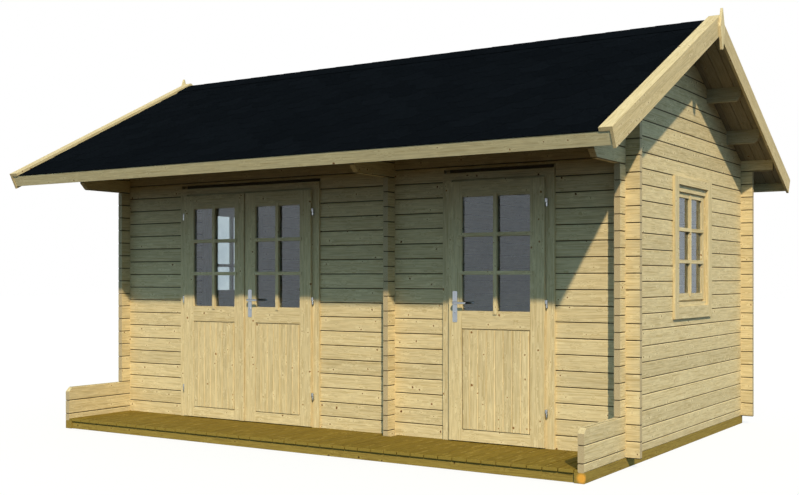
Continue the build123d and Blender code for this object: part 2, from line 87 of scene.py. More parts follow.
# Sections of the solids that the pieces below repeat
LOG_HEIGHT = 0.114
PITCH = math.radians(27)
ROOF_BOARD = 0.018
SIDE_BEAM = 0.070
BEAM_SHOWN = 0.026  # foundation beam left standing inside each end wall
LEAF = {  # glass and panel are the (foot, head) of two openings, strip is the cover strip's (width, stand)
    "lip": 0.020, "inset": 0.019, "stile": 0.112, "glass": (1.050, 1.888), "panel": (0.176, 0.920),
    "panel_stand": 0.006, "panel_groove": 0.007, "panel_groove_depth": 0.014, "panel_thickness": 0.022,
    "meeting_inset": 0.003, "strip": (0.054, 0.012), "body_top": 0.019,
}
HINGES = {  # dome is (share of the radius, drop from the end), foot is (share, height over the middle)
    "heights": (0.335, 1.107, 1.826), "length": 0.060, "radius": 0.007, "offset": 0.014, "arm_gap": 0.002,
    "dome": ((0.6, 0.0), (0.9, 0.002), (1.0, 0.005)), "foot": ((1.0, 0.0015), (0.85, 0.0004)),
}
LEVER = {  # neck, neck_end, bent and grip are half its (thickness, height); taper is (share of the grip's
    # length, share of its section)
    "height": 1.108, "inset": 0.055, "length": 0.120, "reach": 0.048, "radius": 0.008, "bend": 0.016,
    "neck": (0.0080, 0.0080), "squareness": 0.75, "spindle": 0.75, "bend_steps": 6, "sides": 20,
    "neck_end": (0.0078, 0.0080), "bent": (0.0070, 0.0082), "bent_growth": 0.0001,
    "grip": (0.0065, 0.0088), "taper": ((0.3, 1.0), (0.6, 1.0), (0.85, 1.0), (0.96, 0.85), (1.0, 0.55)),
}
PLATE = {
    "width": 0.040, "height": 0.230, "below": 0.143, "thickness": 0.003, "corner": 0.008,
    "corner_steps": 4, "screw_inset": 0.016, "keyway_drop": 0.072,
}
# What is turned on a plate, as (radius, height over the plate)
RING = ((0.0165, 0.0), (0.0165, 0.003), (0.013, 0.0045))
SCREW = ((0.0042, 0.0), (0.0042, 0.0006), (0.003, 0.0012))
CYLINDER = ((0.0085, 0.0), (0.0085, 0.002))
# What is squared, as spans across, up and out from the plate
SCREW_SLOT = ((-0.003, 0.003), (-0.0005, 0.0005), (0.001, 0.0014))
CYLINDER_TAIL = ((-0.004, 0.004), (-0.022, -0.006), (0.0, 0.0018))
KEYWAY = ((-0.001, 0.001), (-0.005, 0.005), (0.0018, 0.0023))
WINDOW = {
    "wall": 0.044, "casing": 0.095, "head_casing": 0.062, "casing_thickness": 0.020, "lap": 0.045,
    "sill_lap": 0.030, "edge": 0.008, "head": 0.050, "foot": 0.030,
}
# Painted shade: the door heads over this height get the dark seam colour
SLOT_PAINTED_SHADE_FROM = 2.076  # the door heads over this height lie in the depth of the settling slot
SASH = {"thickness": 0.036, "setback": 0.015, "groove_height": 0.015, "groove_depth": 0.020}
PANE_THICKNESS = 0.006
BAR_SETBACK = 0.004  # glazing bars without a lap, behind the face they stand in

# How the felt shingles lie
SETTLED = 0.0006  # most that one tab is thinner than the next
SAME_POINT = 0.001  # corners of a trimmed tab that are nearer than this become one
SLIVER = 0.004  # narrowest strip of a tab that is laid at the roof's edge
STARTER_SETBACK = 0.001  # from the tabs' feet to the edge of the straight course under them
RIDGE_LAP = 1.5  # length of a ridge shingle over the length that shows
RIDGE_EDGE = 0.3  # share of the thickness left at the lowest edge, where the felt is pressed flat
RIDGE_BEND = 0.012  # distance from the ridge within which the felt bends

# Wood: faces, knots with the pale wood round them, and ends cut across the grain
# seam is the dark of the open joints, and also of the painted shade over them and in the settling slot
SPRUCE = palette(
    light="#E0D0A8", dark="#C0AC7E", knot="#A1764A", heart="#4E3620", halo="#EDE0B9",
    end_light="#C6B796", end_dark="#AB9774", seam="#281A05",
)
TREATED = palette(
    light="#A08B46", dark="#7E6A30", knot="#6A5226", heart="#3E2E14", halo="#AC9852",
    end_light="#A08B46", end_dark="#7E6A30", seam="#1A1206", heartwood="#F2B04A",
)
# Picked boards for doors, windows and finials, with lighter knots
JOINERY = SPRUCE | palette(knot="#AC8452", heart="#7C5830")
# Roof boards and purlins: the same wood with painted shade, darker and browner
SOFFIT_PAINTED_SHADE = SPRUCE | palette(light="#978C78", dark="#7C7158", halo="#9F9580")
PURLIN_PAINTED_SHADE = SPRUCE | palette(light="#AFA68C", dark="#948868", halo="#BAB298")
# Boards up the gables, a little duller than the logs, and along the eaves, a little paler
TRIM = SPRUCE | palette(light="#D3C198", dark="#B7A274", halo="#DECEA8")
FASCIA = SPRUCE | palette(light="#DDD1AA", dark="#C3B287", halo="#E7DCB8")
# Deck boards, which take up more of the green salts
DECKING = TREATED | palette(light="#847028", dark="#66541E", end_light="#9A853E", end_dark="#7E6B2E")
BARE = (1.0, 1.0, 1.0)  # stain that leaves a wood as it is

# Felt, metal, glass and paper. shown is the flat colour in the viewport
FELT = palette(shown="#101418", dark="#090C10", light="#14181E", worn="#0D1014")
STEEL = palette(shown="#B0B3B6", dark="#98A0A8", light="#B0B7BE")
IRON = palette(shown="#262627", dark="#1D1D1E", light="#343435")
# sheen tints what the glass mirrors: painted sky blue on the white backdrop
DOOR_GLASS = palette(clean="#DDE6EA", dusty="#CDD8DE", sheen="#F2F8FF")
WINDOW_GLASS = palette(clean="#CDDADE", dusty="#BBC9D0", sheen="#98C8F0")
PLAIN_INDEX = 1.5
COATED_INDEX = 1.62  # glass under a thin heat-holding coat
PAPER = linear("#FAFAF9")

KNOT_SPACING = 0.068  # width of the cells that hold one knot each
KNOT = {  # distances from the middle of a middling knot over which each thing sets in
    "edge": (0.0092, 0.0066), "rim": (0.0040, 0.0068), "bent_grain": (0.045, 0.006), "halo": (0.013, 0.006),
}
KNOT_STRETCH = (2.4, 0.8)  # what the distances are multiplied by at the smallest and the largest knot
# Under each joint the dark is the open joint's own; over it, on the chamfer that faces down, it is painted
# shade
JOINT_AND_SHADE = {  # the dark seam over and under a log, in shares of the log's height, and how dark it is
    "over": (0.063, 0.031), "under": (0.977, 0.991), "share": 0.92,
}
GRIT_SIZE = 0.004  # slate grit of the felt, drawn coarse enough to show

# Studio: level camera at chest height off the veranda's right corner, sun from the front right, paper floor
CAMERA = {
    "lens": 49.81, "sensor": 36.0, "shift": 0.0386, "farthest": 200.0, "place": (5.187, -8.185, 1.289),
    "turn": 0.5742,
}
SUN_COLOUR = "#FFECC9"
SUN_SIZE = math.radians(1.5)
SUN_DISTANCE = 20.0
FLOOR_REACH = 60.0  # from the cabin to the floor's edge
FLOOR_DROP = 0.001  # keeps the floor's face clear of the beams that stand on it
FLOOR_GLOW = 0.82  # share of plain white in the floor that the camera sees; the rest takes the shadow


# ---- Shaders ----
def node(tree, kind, inputs=None, out=0, **settings):
    """Adds one node and returns one of its outputs. settings are the node's own properties; inputs are
    values, or the sockets that feed it."""
    made = tree.nodes.new("ShaderNode" + kind)
    for name, value in settings.items():
        setattr(made, name, value)
    for key, value in (inputs or {}).items():
        if isinstance(value, bpy.types.NodeSocket):
            tree.links.new(value, made.inputs[key])
        else:
            made.inputs[key].default_value = value
    return made.outputs[out] if made.outputs else made


def blank(name, shown):
    """A new material with an empty tree. shown is its flat colour in the viewport."""
    made = bpy.data.materials.new(name)
    made.use_nodes = True
    made.node_tree.nodes.clear()
    made.diffuse_color = shown
    return made, made.node_tree


def pattern_scale(across, along, grain):
    """Scale at which a pattern repeats every across metres, and every along metres down the grain."""
    scale = [1 / across] * 3
    scale["XYZ".index(grain)] = 1 / along
    return tuple(scale)


def stained(wood, stain):
    """A wood's colours as they show through a stain."""
    return {name: tuple(part * tint for part, tint in zip(colour, (*stain, 1.0)))
            for name, colour in wood.items()}


def wood_place(tree, courses, lean):
    """Where the pattern of each log of the courses, or else of each board, is drawn. lean lays it down both
    slopes of a roof. Returns the place, the random numbers of that log or board, and the level in logs."""
    place = node(tree, "TexCoord", out="Object")
    level = None
    if lean:
        parts = node(tree, "SeparateXYZ", {0: place}).node
        depth = node(tree, "Math", {0: parts.outputs[1]}, operation="ABSOLUTE")
        folded = node(tree, "CombineXYZ", {0: parts.outputs[0], 1: depth, 2: parts.outputs[2]})
        place = node(tree, "VectorRotate", {"Vector": folded, "Angle": lean}, rotation_type="X_AXIS")
    if courses:
        height = node(tree, "SeparateXYZ", {0: place}, out=2)
        raised = node(tree, "Math", {0: height, 1: courses[0]}, operation="SUBTRACT")
        level = node(tree, "Math", {0: raised, 1: courses[1]}, operation="DIVIDE")
        seed = node(tree, "Math", {0: level}, operation="FLOOR")
    else:
        island = node(tree, "NewGeometry", out="Random Per Island")
        seed = node(tree, "Math", {0: island, 1: 997.0}, operation="MULTIPLY")
    lot = node(tree, "TexWhiteNoise", {"W": seed}, noise_dimensions="1D").node
    shift = node(tree, "VectorMath", {0: lot.outputs["Color"], 1: (7, 7, 7)}, operation="MULTIPLY")
    return node(tree, "VectorMath", {0: place, 1: shift}, operation="ADD"), lot, level


def branch_knots(tree, place, grain):
    """Knots up to 20 mm across, dark in the middle with a reddish rim, one every 0.2 m or so of a log. The
    grain bends round each one, and the wood beside it is paler for some 60 mm along the grain. Returns the
    shares of knot, rim and pale wood, and the place that the growth rings are drawn at."""
    bent = node(tree, "TexNoise", {"Vector": place, "Scale": 55.0, "Detail": 1.0}, out="Color")
    wobble = node(tree, "VectorMath", {0: bent, 1: (0.014, 0.014, 0.014)}, operation="MULTIPLY")
    rough_place = node(tree, "VectorMath", {0: place, 1: wobble}, operation="ADD")
    knots = node(tree, "TexVoronoi", {"Vector": rough_place, "Scale": 1 / KNOT_SPACING}).node
    growth = node(tree, "SeparateColor", {0: knots.outputs["Color"]})
    small, large = (stretch * KNOT_SPACING for stretch in KNOT_STRETCH)
    spacing = node(tree, "MapRange", {"Value": growth, 3: small, 4: large})
    reach = node(tree, "Math", {0: knots.outputs["Distance"], 1: spacing}, operation="MULTIPLY")
    in_knot = node(tree, "MapRange", {"Value": reach, 1: KNOT["edge"][0], 2: KNOT["edge"][1]},
                   interpolation_type="SMOOTHSTEP")
    in_rim = node(tree, "MapRange", {"Value": reach, 1: KNOT["rim"][0], 2: KNOT["rim"][1]},
                  interpolation_type="SMOOTHSTEP")
    swirl = node(tree, "MapRange", {
        "Value": reach, 1: KNOT["bent_grain"][0], 2: KNOT["bent_grain"][1], 4: 0.009},
        interpolation_type="SMOOTHSTEP")
    swirled = node(tree, "VectorMath", {0: place, 1: swirl}, operation="ADD")
    apart = node(tree, "VectorMath", {0: rough_place, 1: knots.outputs["Position"]}, operation="SUBTRACT")
    apart = node(tree, "Mapping", {"Vector": apart, "Scale": pattern_scale(1.0, 6.0, grain)})
    halo_reach = node(tree, "VectorMath", {0: apart}, out="Value", operation="LENGTH")
    halo = node(tree, "MapRange", {"Value": halo_reach, 1: KNOT["halo"][0], 2: KNOT["halo"][1], 4: 0.42},
                interpolation_type="SMOOTHSTEP")
    return in_knot, in_rim, halo, swirled


def sawn_ends(tree, colour, place, grain, wood):
    """Gives ends sawn across the grain their own colour, with the rings as arcs."""
    normal = node(tree, "SeparateXYZ", {0: node(tree, "NewGeometry", out="Normal")}, out="XYZ".index(grain))
    facing = node(tree, "Math", {0: normal}, operation="ABSOLUTE")
    arcs = node(tree, "TexVoronoi", {
        "Vector": node(tree, "Mapping", {"Vector": place, "Scale": pattern_scale(0.13, 9.0, grain)})})
    wave = node(tree, "Math", {0: arcs, 1: 150.0}, operation="MULTIPLY")
    arc = node(tree, "Math", {0: wave}, operation="SINE")
    share = node(tree, "MapRange", {"Value": arc, 1: -0.6, 2: 0.9})
    end = node(tree, "Mix", {0: share, 6: wood["end_light"], 7: wood["end_dark"]}, out=2, data_type="RGBA")
    across = node(tree, "MapRange", {"Value": facing, 1: 0.75, 2: 0.9})
    return node(tree, "Mix", {0: across, 6: colour, 7: end}, out=2, data_type="RGBA")


def log_joints_and_shade(tree, colour, level, wood):
    """Darkens each joint between two logs, but not the top of the uppermost log: the open joint itself, and
    painted shade on the chamfer over it, which faces down.
    """
    rise = node(tree, "Math", {0: level}, operation="FRACT")
    # Painted shade over the joint, on the foot of the log above, which faces down
    over = node(tree, "MapRange", {
        "Value": rise, 1: JOINT_AND_SHADE["over"][0], 2: JOINT_AND_SHADE["over"][1], 4: JOINT_AND_SHADE["share"]})
    # The open joint itself, at the top of the log below
    under = node(tree, "MapRange", {
        "Value": rise, 1: JOINT_AND_SHADE["under"][0], 2: JOINT_AND_SHADE["under"][1], 4: JOINT_AND_SHADE["share"]})
    # The darker of the open joint and the painted shade over it
    joint = node(tree, "Math", {0: over, 1: under}, operation="MAXIMUM")
    upward = node(tree, "SeparateXYZ", {0: node(tree, "NewGeometry", out="Normal")}, out=2)
    flat = node(tree, "Math", {0: upward}, operation="ABSOLUTE")
    upright = node(tree, "MapRange", {"Value": flat, 1: 0.9, 2: 0.8})
    shade = node(tree, "Math", {0: joint, 1: upright}, operation="MULTIPLY")
    return node(tree, "Mix", {0: shade, 6: colour, 7: wood["seam"]}, out=2, data_type="RGBA")


def timber(name, grain, wood, courses=None, lean=0.0, roughness=0.62, painted_shade_from=None, heart=None):
    """Planed softwood with knots, growth rings and sawn ends. grain is the axis it runs along, courses is
    (height of a seam, log height) for a wall of logs, and lean is the pitch of boards that run down a roof.
    painted_shade_from is the height from which a piece is only seen in the depth of a slot, and gets painted
    shade. heart is the middle of the one sawn end that shows its heartwood."""
    made, tree = blank(name, wood["light"])
    place, lot, level = wood_place(tree, courses, lean)
    in_knot, in_rim, halo, swirled = branch_knots(tree, place, grain)

    # Growth rings 12 mm apart on the face, drawn out to 1.6 m along the board, and fibres of 4 mm. Real
    # fibres are finer and would not show.
    rings = node(tree, "TexNoise", {
        "Vector": node(tree, "Mapping", {"Vector": swirled, "Scale": pattern_scale(0.024, 1.6, grain)}),
        "Detail": 3.0, "Roughness": 0.62, "Distortion": 0.4})
    fibres = node(tree, "TexNoise", {
        "Vector": node(tree, "Mapping", {"Vector": place, "Scale": pattern_scale(0.005, 0.10, grain)}),
        "Detail": 2.0, "Roughness": 0.55})
    patches = node(tree, "TexNoise", {
        "Vector": node(tree, "Mapping", {"Vector": place, "Scale": pattern_scale(0.09, 0.5, grain)}),
        "Detail": 1.0})
    ring = node(tree, "MapRange", {"Value": rings, 1: 0.42, 2: 0.70}, interpolation_type="SMOOTHSTEP")
    fibre = node(tree, "MapRange", {"Value": fibres, 1: 0.35, 2: 0.75, 4: 0.14},
                 interpolation_type="SMOOTHSTEP")
    colour = node(tree, "Mix", {0: ring, 6: wood["light"], 7: wood["dark"]}, out=2, data_type="RGBA")
    colour = node(tree, "Mix", {0: fibre, 6: colour, 7: wood["dark"]}, out=2, data_type="RGBA")
    patch = node(tree, "MapRange", {"Value": patches, 1: 0.3, 2: 0.7, 3: 0.90, 4: 1.04})
    board_tone = node(tree, "MapRange", {"Value": lot.outputs["Value"], 3: -0.09, 4: 0.05})
    tone = node(tree, "Math", {0: patch, 1: board_tone}, operation="ADD")
    colour = node(tree, "Mix", {0: 1.0, 6: colour, 7: tone}, out=2, data_type="RGBA", blend_type="MULTIPLY")
    colour = node(tree, "Mix", {0: halo, 6: colour, 7: wood["halo"]}, out=2, data_type="RGBA")
    knot = node(tree, "Mix", {0: in_rim, 6: wood["heart"], 7: wood["knot"]}, out=2, data_type="RGBA")
    colour = node(tree, "Mix", {0: in_knot, 6: colour, 7: knot}, out=2, data_type="RGBA")

    if not lean:
        colour = sawn_ends(tree, colour, place, grain, wood)
    if heart:
        off = node(tree, "VectorMath", {0: node(tree, "TexCoord", out="Object"), 1: heart}, out="Value",
                   operation="DISTANCE")
        core = node(tree, "MapRange", {"Value": off, 1: 0.040, 2: 0.020, 4: 0.9})
        colour = node(tree, "Mix", {0: core, 6: colour, 7: wood["heartwood"]}, out=2, data_type="RGBA")
    # Painted shade in the depth of the slot: over the given height, the colour is mixed most of the way to
    # the seam colour
    if painted_shade_from:
        height = node(tree, "SeparateXYZ", {0: node(tree, "TexCoord", out="Object")}, out=2)
        in_painted_shade = node(tree, "Math", {0: height, 1: painted_shade_from}, operation="GREATER_THAN")
        share = node(tree, "Math", {0: in_painted_shade, 1: 0.86}, operation="MULTIPLY")
        colour = node(tree, "Mix", {0: share, 6: colour, 7: wood["seam"]}, out=2, data_type="RGBA")
    # Dark joints between the logs, with painted shade on the chamfer over each
    if courses:
        colour = log_joints_and_shade(tree, colour, level, wood)

    relief = node(tree, "Math", {0: ring, 1: fibre}, operation="ADD")
    bump = node(tree, "Bump", {"Strength": 0.35, "Distance": 0.0006, "Height": relief})
    shader = node(tree, "BsdfPrincipled", {
        "Base Color": colour, "Roughness": roughness, "Specular IOR Level": 0.12, "Normal": bump})
    node(tree, "OutputMaterial", {"Surface": shader})
    return made


def spruce_upright(stain):
    """Planed spruce, dried and left bare: pale straw with a soft sheen, darker rings and brown knots."""
    return timber("planed_spruce_upright", "Z", stained(JOINERY, stain))


def pressure_treated(name, grain, wood, heart=None):
    """Pine soaked in green copper salts under pressure: olive brown and dull."""
    return timber(name, grain, wood, roughness=0.78, heart=heart)


def bitumen_felt(colours):
    """Bitumen shingle pressed with crushed slate: nearly black and matt, with a grit drawn 4 mm across.
    Real grit is about 1 mm and would not show."""
    made, tree = blank("slate_grit_bitumen_felt", FELT["shown"])
    place = node(tree, "TexCoord", out="Object")
    grit = node(tree, "TexVoronoi", {"Vector": place, "Scale": 1 / GRIT_SIZE}).node
    grain = node(tree, "SeparateColor", {0: grit.outputs["Color"]})
    patches = node(tree, "TexNoise", {"Vector": place, "Scale": 5.0, "Detail": 3.0})
    lot = node(tree, "NewGeometry", out="Random Per Island")
    speck = node(tree, "MapRange", {"Value": grain, 1: 0.55})
    patch = node(tree, "MapRange", {"Value": patches, 1: 0.3, 2: 0.7, 4: 0.35})
    tone = node(tree, "MapRange", {"Value": lot, 3: 0.88, 4: 1.12})
    shades = (colours.felt_dark, colours.felt_light, colours.felt_worn)
    dark, light, worn = ((*shade, 1.0) for shade in shades)
    colour = node(tree, "Mix", {0: speck, 6: dark, 7: light}, out=2, data_type="RGBA")
    colour = node(tree, "Mix", {0: patch, 6: colour, 7: worn}, out=2, data_type="RGBA")
    colour = node(tree, "Mix", {0: 1.0, 6: colour, 7: tone}, out=2, data_type="RGBA", blend_type="MULTIPLY")
    bump = node(tree, "Bump", {"Strength": 0.4, "Distance": 0.001, "Height": grit.outputs["Distance"]})
    shader = node(tree, "BsdfPrincipled", {
        "Base Color": colour, "Roughness": 1.0, "Specular IOR Level": 0.0, "Normal": bump})
    node(tree, "OutputMaterial", {"Surface": shader})
    return made


def satin_steel(colours):
    """Stainless steel brushed with a fine belt: grey, with a soft highlight drawn out along the brushing."""
    made, tree = blank("brushed_stainless_steel", STEEL["shown"])
    place = node(tree, "TexCoord", out="Object")
    lines = node(tree, "TexNoise", {
        "Vector": node(tree, "Mapping", {"Vector": place, "Scale": pattern_scale(0.0006, 0.02, "Z")}),
        "Detail": 2.0})
    line = node(tree, "MapRange", {"Value": lines, 1: 0.3, 2: 0.7})
    dark, light = ((*shade, 1.0) for shade in (colours.metal_dark, colours.metal_light))
    colour = node(tree, "Mix", {0: line, 6: dark, 7: light}, out=2, data_type="RGBA")
    roughness = node(tree, "MapRange", {"Value": line, 3: 0.26, 4: 0.40})
    shader = node(tree, "BsdfPrincipled", {"Base Color": colour, "Metallic": 1.0, "Roughness": roughness})
    node(tree, "OutputMaterial", {"Surface": shader})
    return made


def black_iron():
    """Blackened steel of keyways and screw slots: dark, half matt, with a faint uneven film of oil."""
    made, tree = blank("blackened_steel", IRON["shown"])
    place = node(tree, "TexCoord", out="Object")
    film = node(tree, "TexNoise", {"Vector": place, "Scale": 400.0, "Detail": 2.0})
    colour = node(tree, "Mix", {0: film, 6: IRON["dark"], 7: IRON["light"]}, out=2, data_type="RGBA")
    shader = node(tree, "BsdfPrincipled", {"Base Color": colour, "Metallic": 1.0, "Roughness": 0.5})
    node(tree, "OutputMaterial", {"Surface": shader})
    return made


def float_glass(name, glass, index):
    """Clear float glass: mirror smooth, with a little dust that dulls it. Its sheen tints what it mirrors:
    painted sky blue on the white backdrop. The index is passed in; it is higher for glass under a thin
    heat-holding coat."""
    made, tree = blank(name, glass["clean"])
    place = node(tree, "TexCoord", out="Object")
    dust = node(tree, "TexNoise", {"Vector": place, "Scale": 6.0, "Detail": 4.0})
    share = node(tree, "MapRange", {"Value": dust, 1: 0.35, 2: 0.75})
    colour = node(tree, "Mix", {0: share, 6: glass["clean"], 7: glass["dusty"]}, out=2, data_type="RGBA")
    # Specular Tint: painted sky blue on the mirrored white backdrop
    shader = node(tree, "BsdfPrincipled", {
        "Base Color": colour, "Roughness": 0.02, "IOR": index, "Transmission Weight": 1.0,
        "Specular Tint": glass["sheen"]})
    node(tree, "OutputMaterial", {"Surface": shader})
    return made


# ---- Meshes ----
def bar(mesh, outline, axis, span, finish=0, place=None):
    """Adds a bar: an outline across the axis, drawn out over a span. place moves each corner at the end."""
    a, b, c = AXES[axis]
    rings = []
    for level in span:
        ring = []
        for point in outline:
            corner = [0.0, 0.0, 0.0]
            corner[a], corner[b], corner[c] = point[0], point[1], level
            ring.append(mesh.verts.new(place(*corner) if place else corner))
        rings.append(ring)
    sides = [rings[0][::-1], rings[1]]
    for k in range(len(outline)):
        after = (k + 1) % len(outline)
        sides.append([rings[0][k], rings[0][after], rings[1][after], rings[1][k]])
    for side in sides:
        mesh.faces.new(side).material_index = finish


def board(mesh, x, y, z, finish=0):
    """Adds a squared board between two coordinates on each axis."""
    bar(mesh, [(x[0], y[0]), (x[1], y[0]), (x[1], y[1]), (x[0], y[1])], "Z", z, finish)


def turned(mesh, centre, axis, profile):
    """Adds a turned piece round an axis through centre. profile is (radius, level) from one end to the
    other."""
    a, b, c = AXES[axis]
    rings = []
    for radius, level in profile:
        ring = []
        for k in range(TURNED_SIDES):
            turn = 2 * math.pi * k / TURNED_SIDES
            corner = [0.0, 0.0, 0.0]
            corner[a] = centre[0] + radius * math.cos(turn)
            corner[b] = centre[1] + radius * math.sin(turn)
            corner[c] = level
            ring.append(mesh.verts.new(corner))
        rings.append(ring)
    skin(mesh, rings)


def skin(mesh, rings):
    """Joins rings of corners one after another and closes both ends."""
    count = len(rings[0])
    for low, high in zip(rings, rings[1:]):
        for k in range(count):
            after = (k + 1) % count
            mesh.faces.new([low[k], low[after], high[after], high[k]])
    mesh.faces.new(rings[0][::-1])
    mesh.faces.new(rings[-1])


def ease(made, width):
    """Rounds an object's edges a little."""
    soft = made.modifiers.new("eased_edges", "BEVEL")
    soft.width = width
    soft.segments = 2
    soft.limit_method = "ANGLE"


def piece(name, mesh, body, finishes, bevel=0.0, replaced=(), smooth=False):
    """Makes the object of a mesh, which rides on a body and stands for the CAD nodes it replaces."""
    bmesh.ops.recalc_face_normals(mesh, faces=mesh.faces)
    data = bpy.data.meshes.new(name)
    mesh.to_mesh(data)
    mesh.free()
    for finish in finishes:
        data.materials.append(finish)
    if smooth:
        data.shade_smooth()
        data.set_sharp_from_angle(angle=SHARP)
    made = bpy.data.objects.new(name, data)
    bpy.context.scene.collection.objects.link(made)
    if bevel:
        ease(made, bevel)
    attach(made, body)
    if replaced:
        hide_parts(*replaced)
    return made


def finish_nodes(names, material, bevel=0.0):
    """Gives CAD nodes a material, and eased edges where bevel is set."""
    for name in names:
        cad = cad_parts[name]
        for slot in cad.material_slots:
            slot.material = material
        if bevel:
            weld = cad.modifiers.new("joined_corners", "WELD")
            weld.merge_threshold = WELD_REACH
            ease(cad, bevel)


def spread(low, high, width):
    """Boards of about one width that fill a span: their count and the exact width."""
    count = max(1, round((high - low) / width))
    return count, (high - low) / count


# ---- Sizes and colours that a user would change ----
class CabinBoards(bpy.types.PropertyGroup):
    """Board widths"""

    deck_width: bpy.props.FloatProperty(
        name="Deck board pitch", description="Deck board with the gap beside it",
        default=0.11, min=0.05, unit="LENGTH")
    deck_gap: bpy.props.FloatProperty(
        name="Deck gap", description="Open gap between two deck boards", default=0.006, min=0.001,
        unit="LENGTH")
    roof_width: bpy.props.FloatProperty(
        name="Roof board width", description="Cover of one tongued roof board", default=0.09, min=0.04,
        unit="LENGTH")
    floor_width: bpy.props.FloatProperty(
        name="Floor board width", description="Cover of one tongued floor board", default=0.09, min=0.04,
        unit="LENGTH")
    panel_width: bpy.props.FloatProperty(
        name="Panel board width", description="Cover of one upright board in a door panel", default=0.07,
        min=0.04, unit="LENGTH")
    joint: bpy.props.FloatProperty(
        name="V joint", description="Width of the chamfer beside each tongued joint", default=0.005,
        min=0.001, unit="LENGTH")


class CabinShingles(bpy.types.PropertyGroup):
    """Shingle sizes"""

    tab_width: bpy.props.FloatProperty(
        name="Tab width", description="Width of one six-sided shingle tab", default=0.333, min=0.1,
        unit="LENGTH")
    exposure: bpy.props.FloatProperty(
        name="Exposure", description="Length of each course that shows below the next", default=0.145,
        min=0.05, unit="LENGTH")
    thickness: bpy.props.FloatProperty(
        name="Thickness", description="Thickness of one shingle", default=0.003, min=0.001,
        unit="LENGTH")
    ridge_length: bpy.props.FloatProperty(
        name="Ridge piece", description="Length that shows of each ridge shingle", default=0.2, min=0.05,
        unit="LENGTH")


class CabinJoinery(bpy.types.PropertyGroup):
    """Door and window sizes"""

    bar_width: bpy.props.FloatProperty(
        name="Glazing bar width", description="Width of each glazing bar", default=0.028, min=0.01,
        unit="LENGTH")
    bar_proud: bpy.props.FloatProperty(
        name="Glazing bar stand", description="How far the bars stand out from the leaf or sash",
        default=0.008, min=0.001, unit="LENGTH")
    bar_lap: bpy.props.FloatProperty(
        name="Glazing bar lap", description="How far each bar's end laps over the frame round the glass",
        default=0.024, min=0.0, unit="LENGTH")
    rows: bpy.props.IntProperty(
        name="Rows of panes", description="Panes above each other", default=3, min=1)
    columns: bpy.props.IntProperty(
        name="Columns of panes", description="Panes side by side", default=2, min=1)
    edge: bpy.props.FloatProperty(
        name="Eased edge", description="Rounding of planed edges", default=0.0015, min=0.0, unit="LENGTH")


class CabinColours(bpy.types.PropertyGroup):
    """Stains and colours"""

    log_stain: bpy.props.FloatVectorProperty(
        name="Log stain", description="Stain on the log walls and purlins, where white is bare wood",
        default=BARE, min=0.0, max=1.0, subtype="COLOR")
    joinery_stain: bpy.props.FloatVectorProperty(
        name="Joinery stain", description="Stain on the doors, windows and finials, where white is bare wood",
        default=BARE, min=0.0, max=1.0, subtype="COLOR")
    roof_stain: bpy.props.FloatVectorProperty(
        name="Roof stain", description="Stain on the roof boards and their trim, where white is bare wood",
        default=BARE, min=0.0, max=1.0, subtype="COLOR")
    deck_stain: bpy.props.FloatVectorProperty(
        name="Deck stain", description="Stain on the deck, beams and joists, where white is bare wood",
        default=BARE, min=0.0, max=1.0, subtype="COLOR")
    felt_dark: bpy.props.FloatVectorProperty(
        name="Felt, dark grit", description="Darkest grit of the felt", default=FELT["dark"][:3], min=0.0,
        max=1.0, subtype="COLOR")
    felt_light: bpy.props.FloatVectorProperty(
        name="Felt, light grit", description="Lightest grit of the felt", default=FELT["light"][:3], min=0.0,
        max=1.0, subtype="COLOR")
    felt_worn: bpy.props.FloatVectorProperty(
        name="Felt, worn", description="Patches of the felt with less grit", default=FELT["worn"][:3],
        min=0.0, max=1.0, subtype="COLOR")
    metal_dark: bpy.props.FloatVectorProperty(
        name="Metal, dark", description="Darker brush lines of hinges, plates and levers",
        default=STEEL["dark"][:3], min=0.0, max=1.0, subtype="COLOR")
    metal_light: bpy.props.FloatVectorProperty(
        name="Metal, light", description="Lighter brush lines of hinges, plates and levers",
        default=STEEL["light"][:3], min=0.0, max=1.0, subtype="COLOR")


class CabinLight(bpy.types.PropertyGroup):
    """Light and backdrop"""

    lamp: bpy.props.FloatProperty(
        name="Key light", description="Strength of the key light", default=3.87, min=0.0)
    lamp_turn: bpy.props.FloatProperty(
        name="Key light turn", description="Direction of the key light, from the front towards the right",
        default=math.radians(40), subtype="ANGLE")
    lamp_height: bpy.props.FloatProperty(
        name="Key light height", description="Height of the key light over the horizon",
        default=math.radians(37.25), subtype="ANGLE")
    fill: bpy.props.FloatProperty(
        name="Fill light", description="Strength of the soft light from all sides", default=0.83, min=0.0)
    fill_colour: bpy.props.FloatVectorProperty(
        name="Fill colour", description="Colour of the soft light", default=linear("#B0DCF0")[:3], min=0.0,
        max=1.0, subtype="COLOR")
    bounce_colour: bpy.props.FloatVectorProperty(
        name="Bounce colour", description="Colour of the light that the floor throws back up",
        default=linear("#3C342A")[:3], min=0.0, max=1.0, subtype="COLOR")


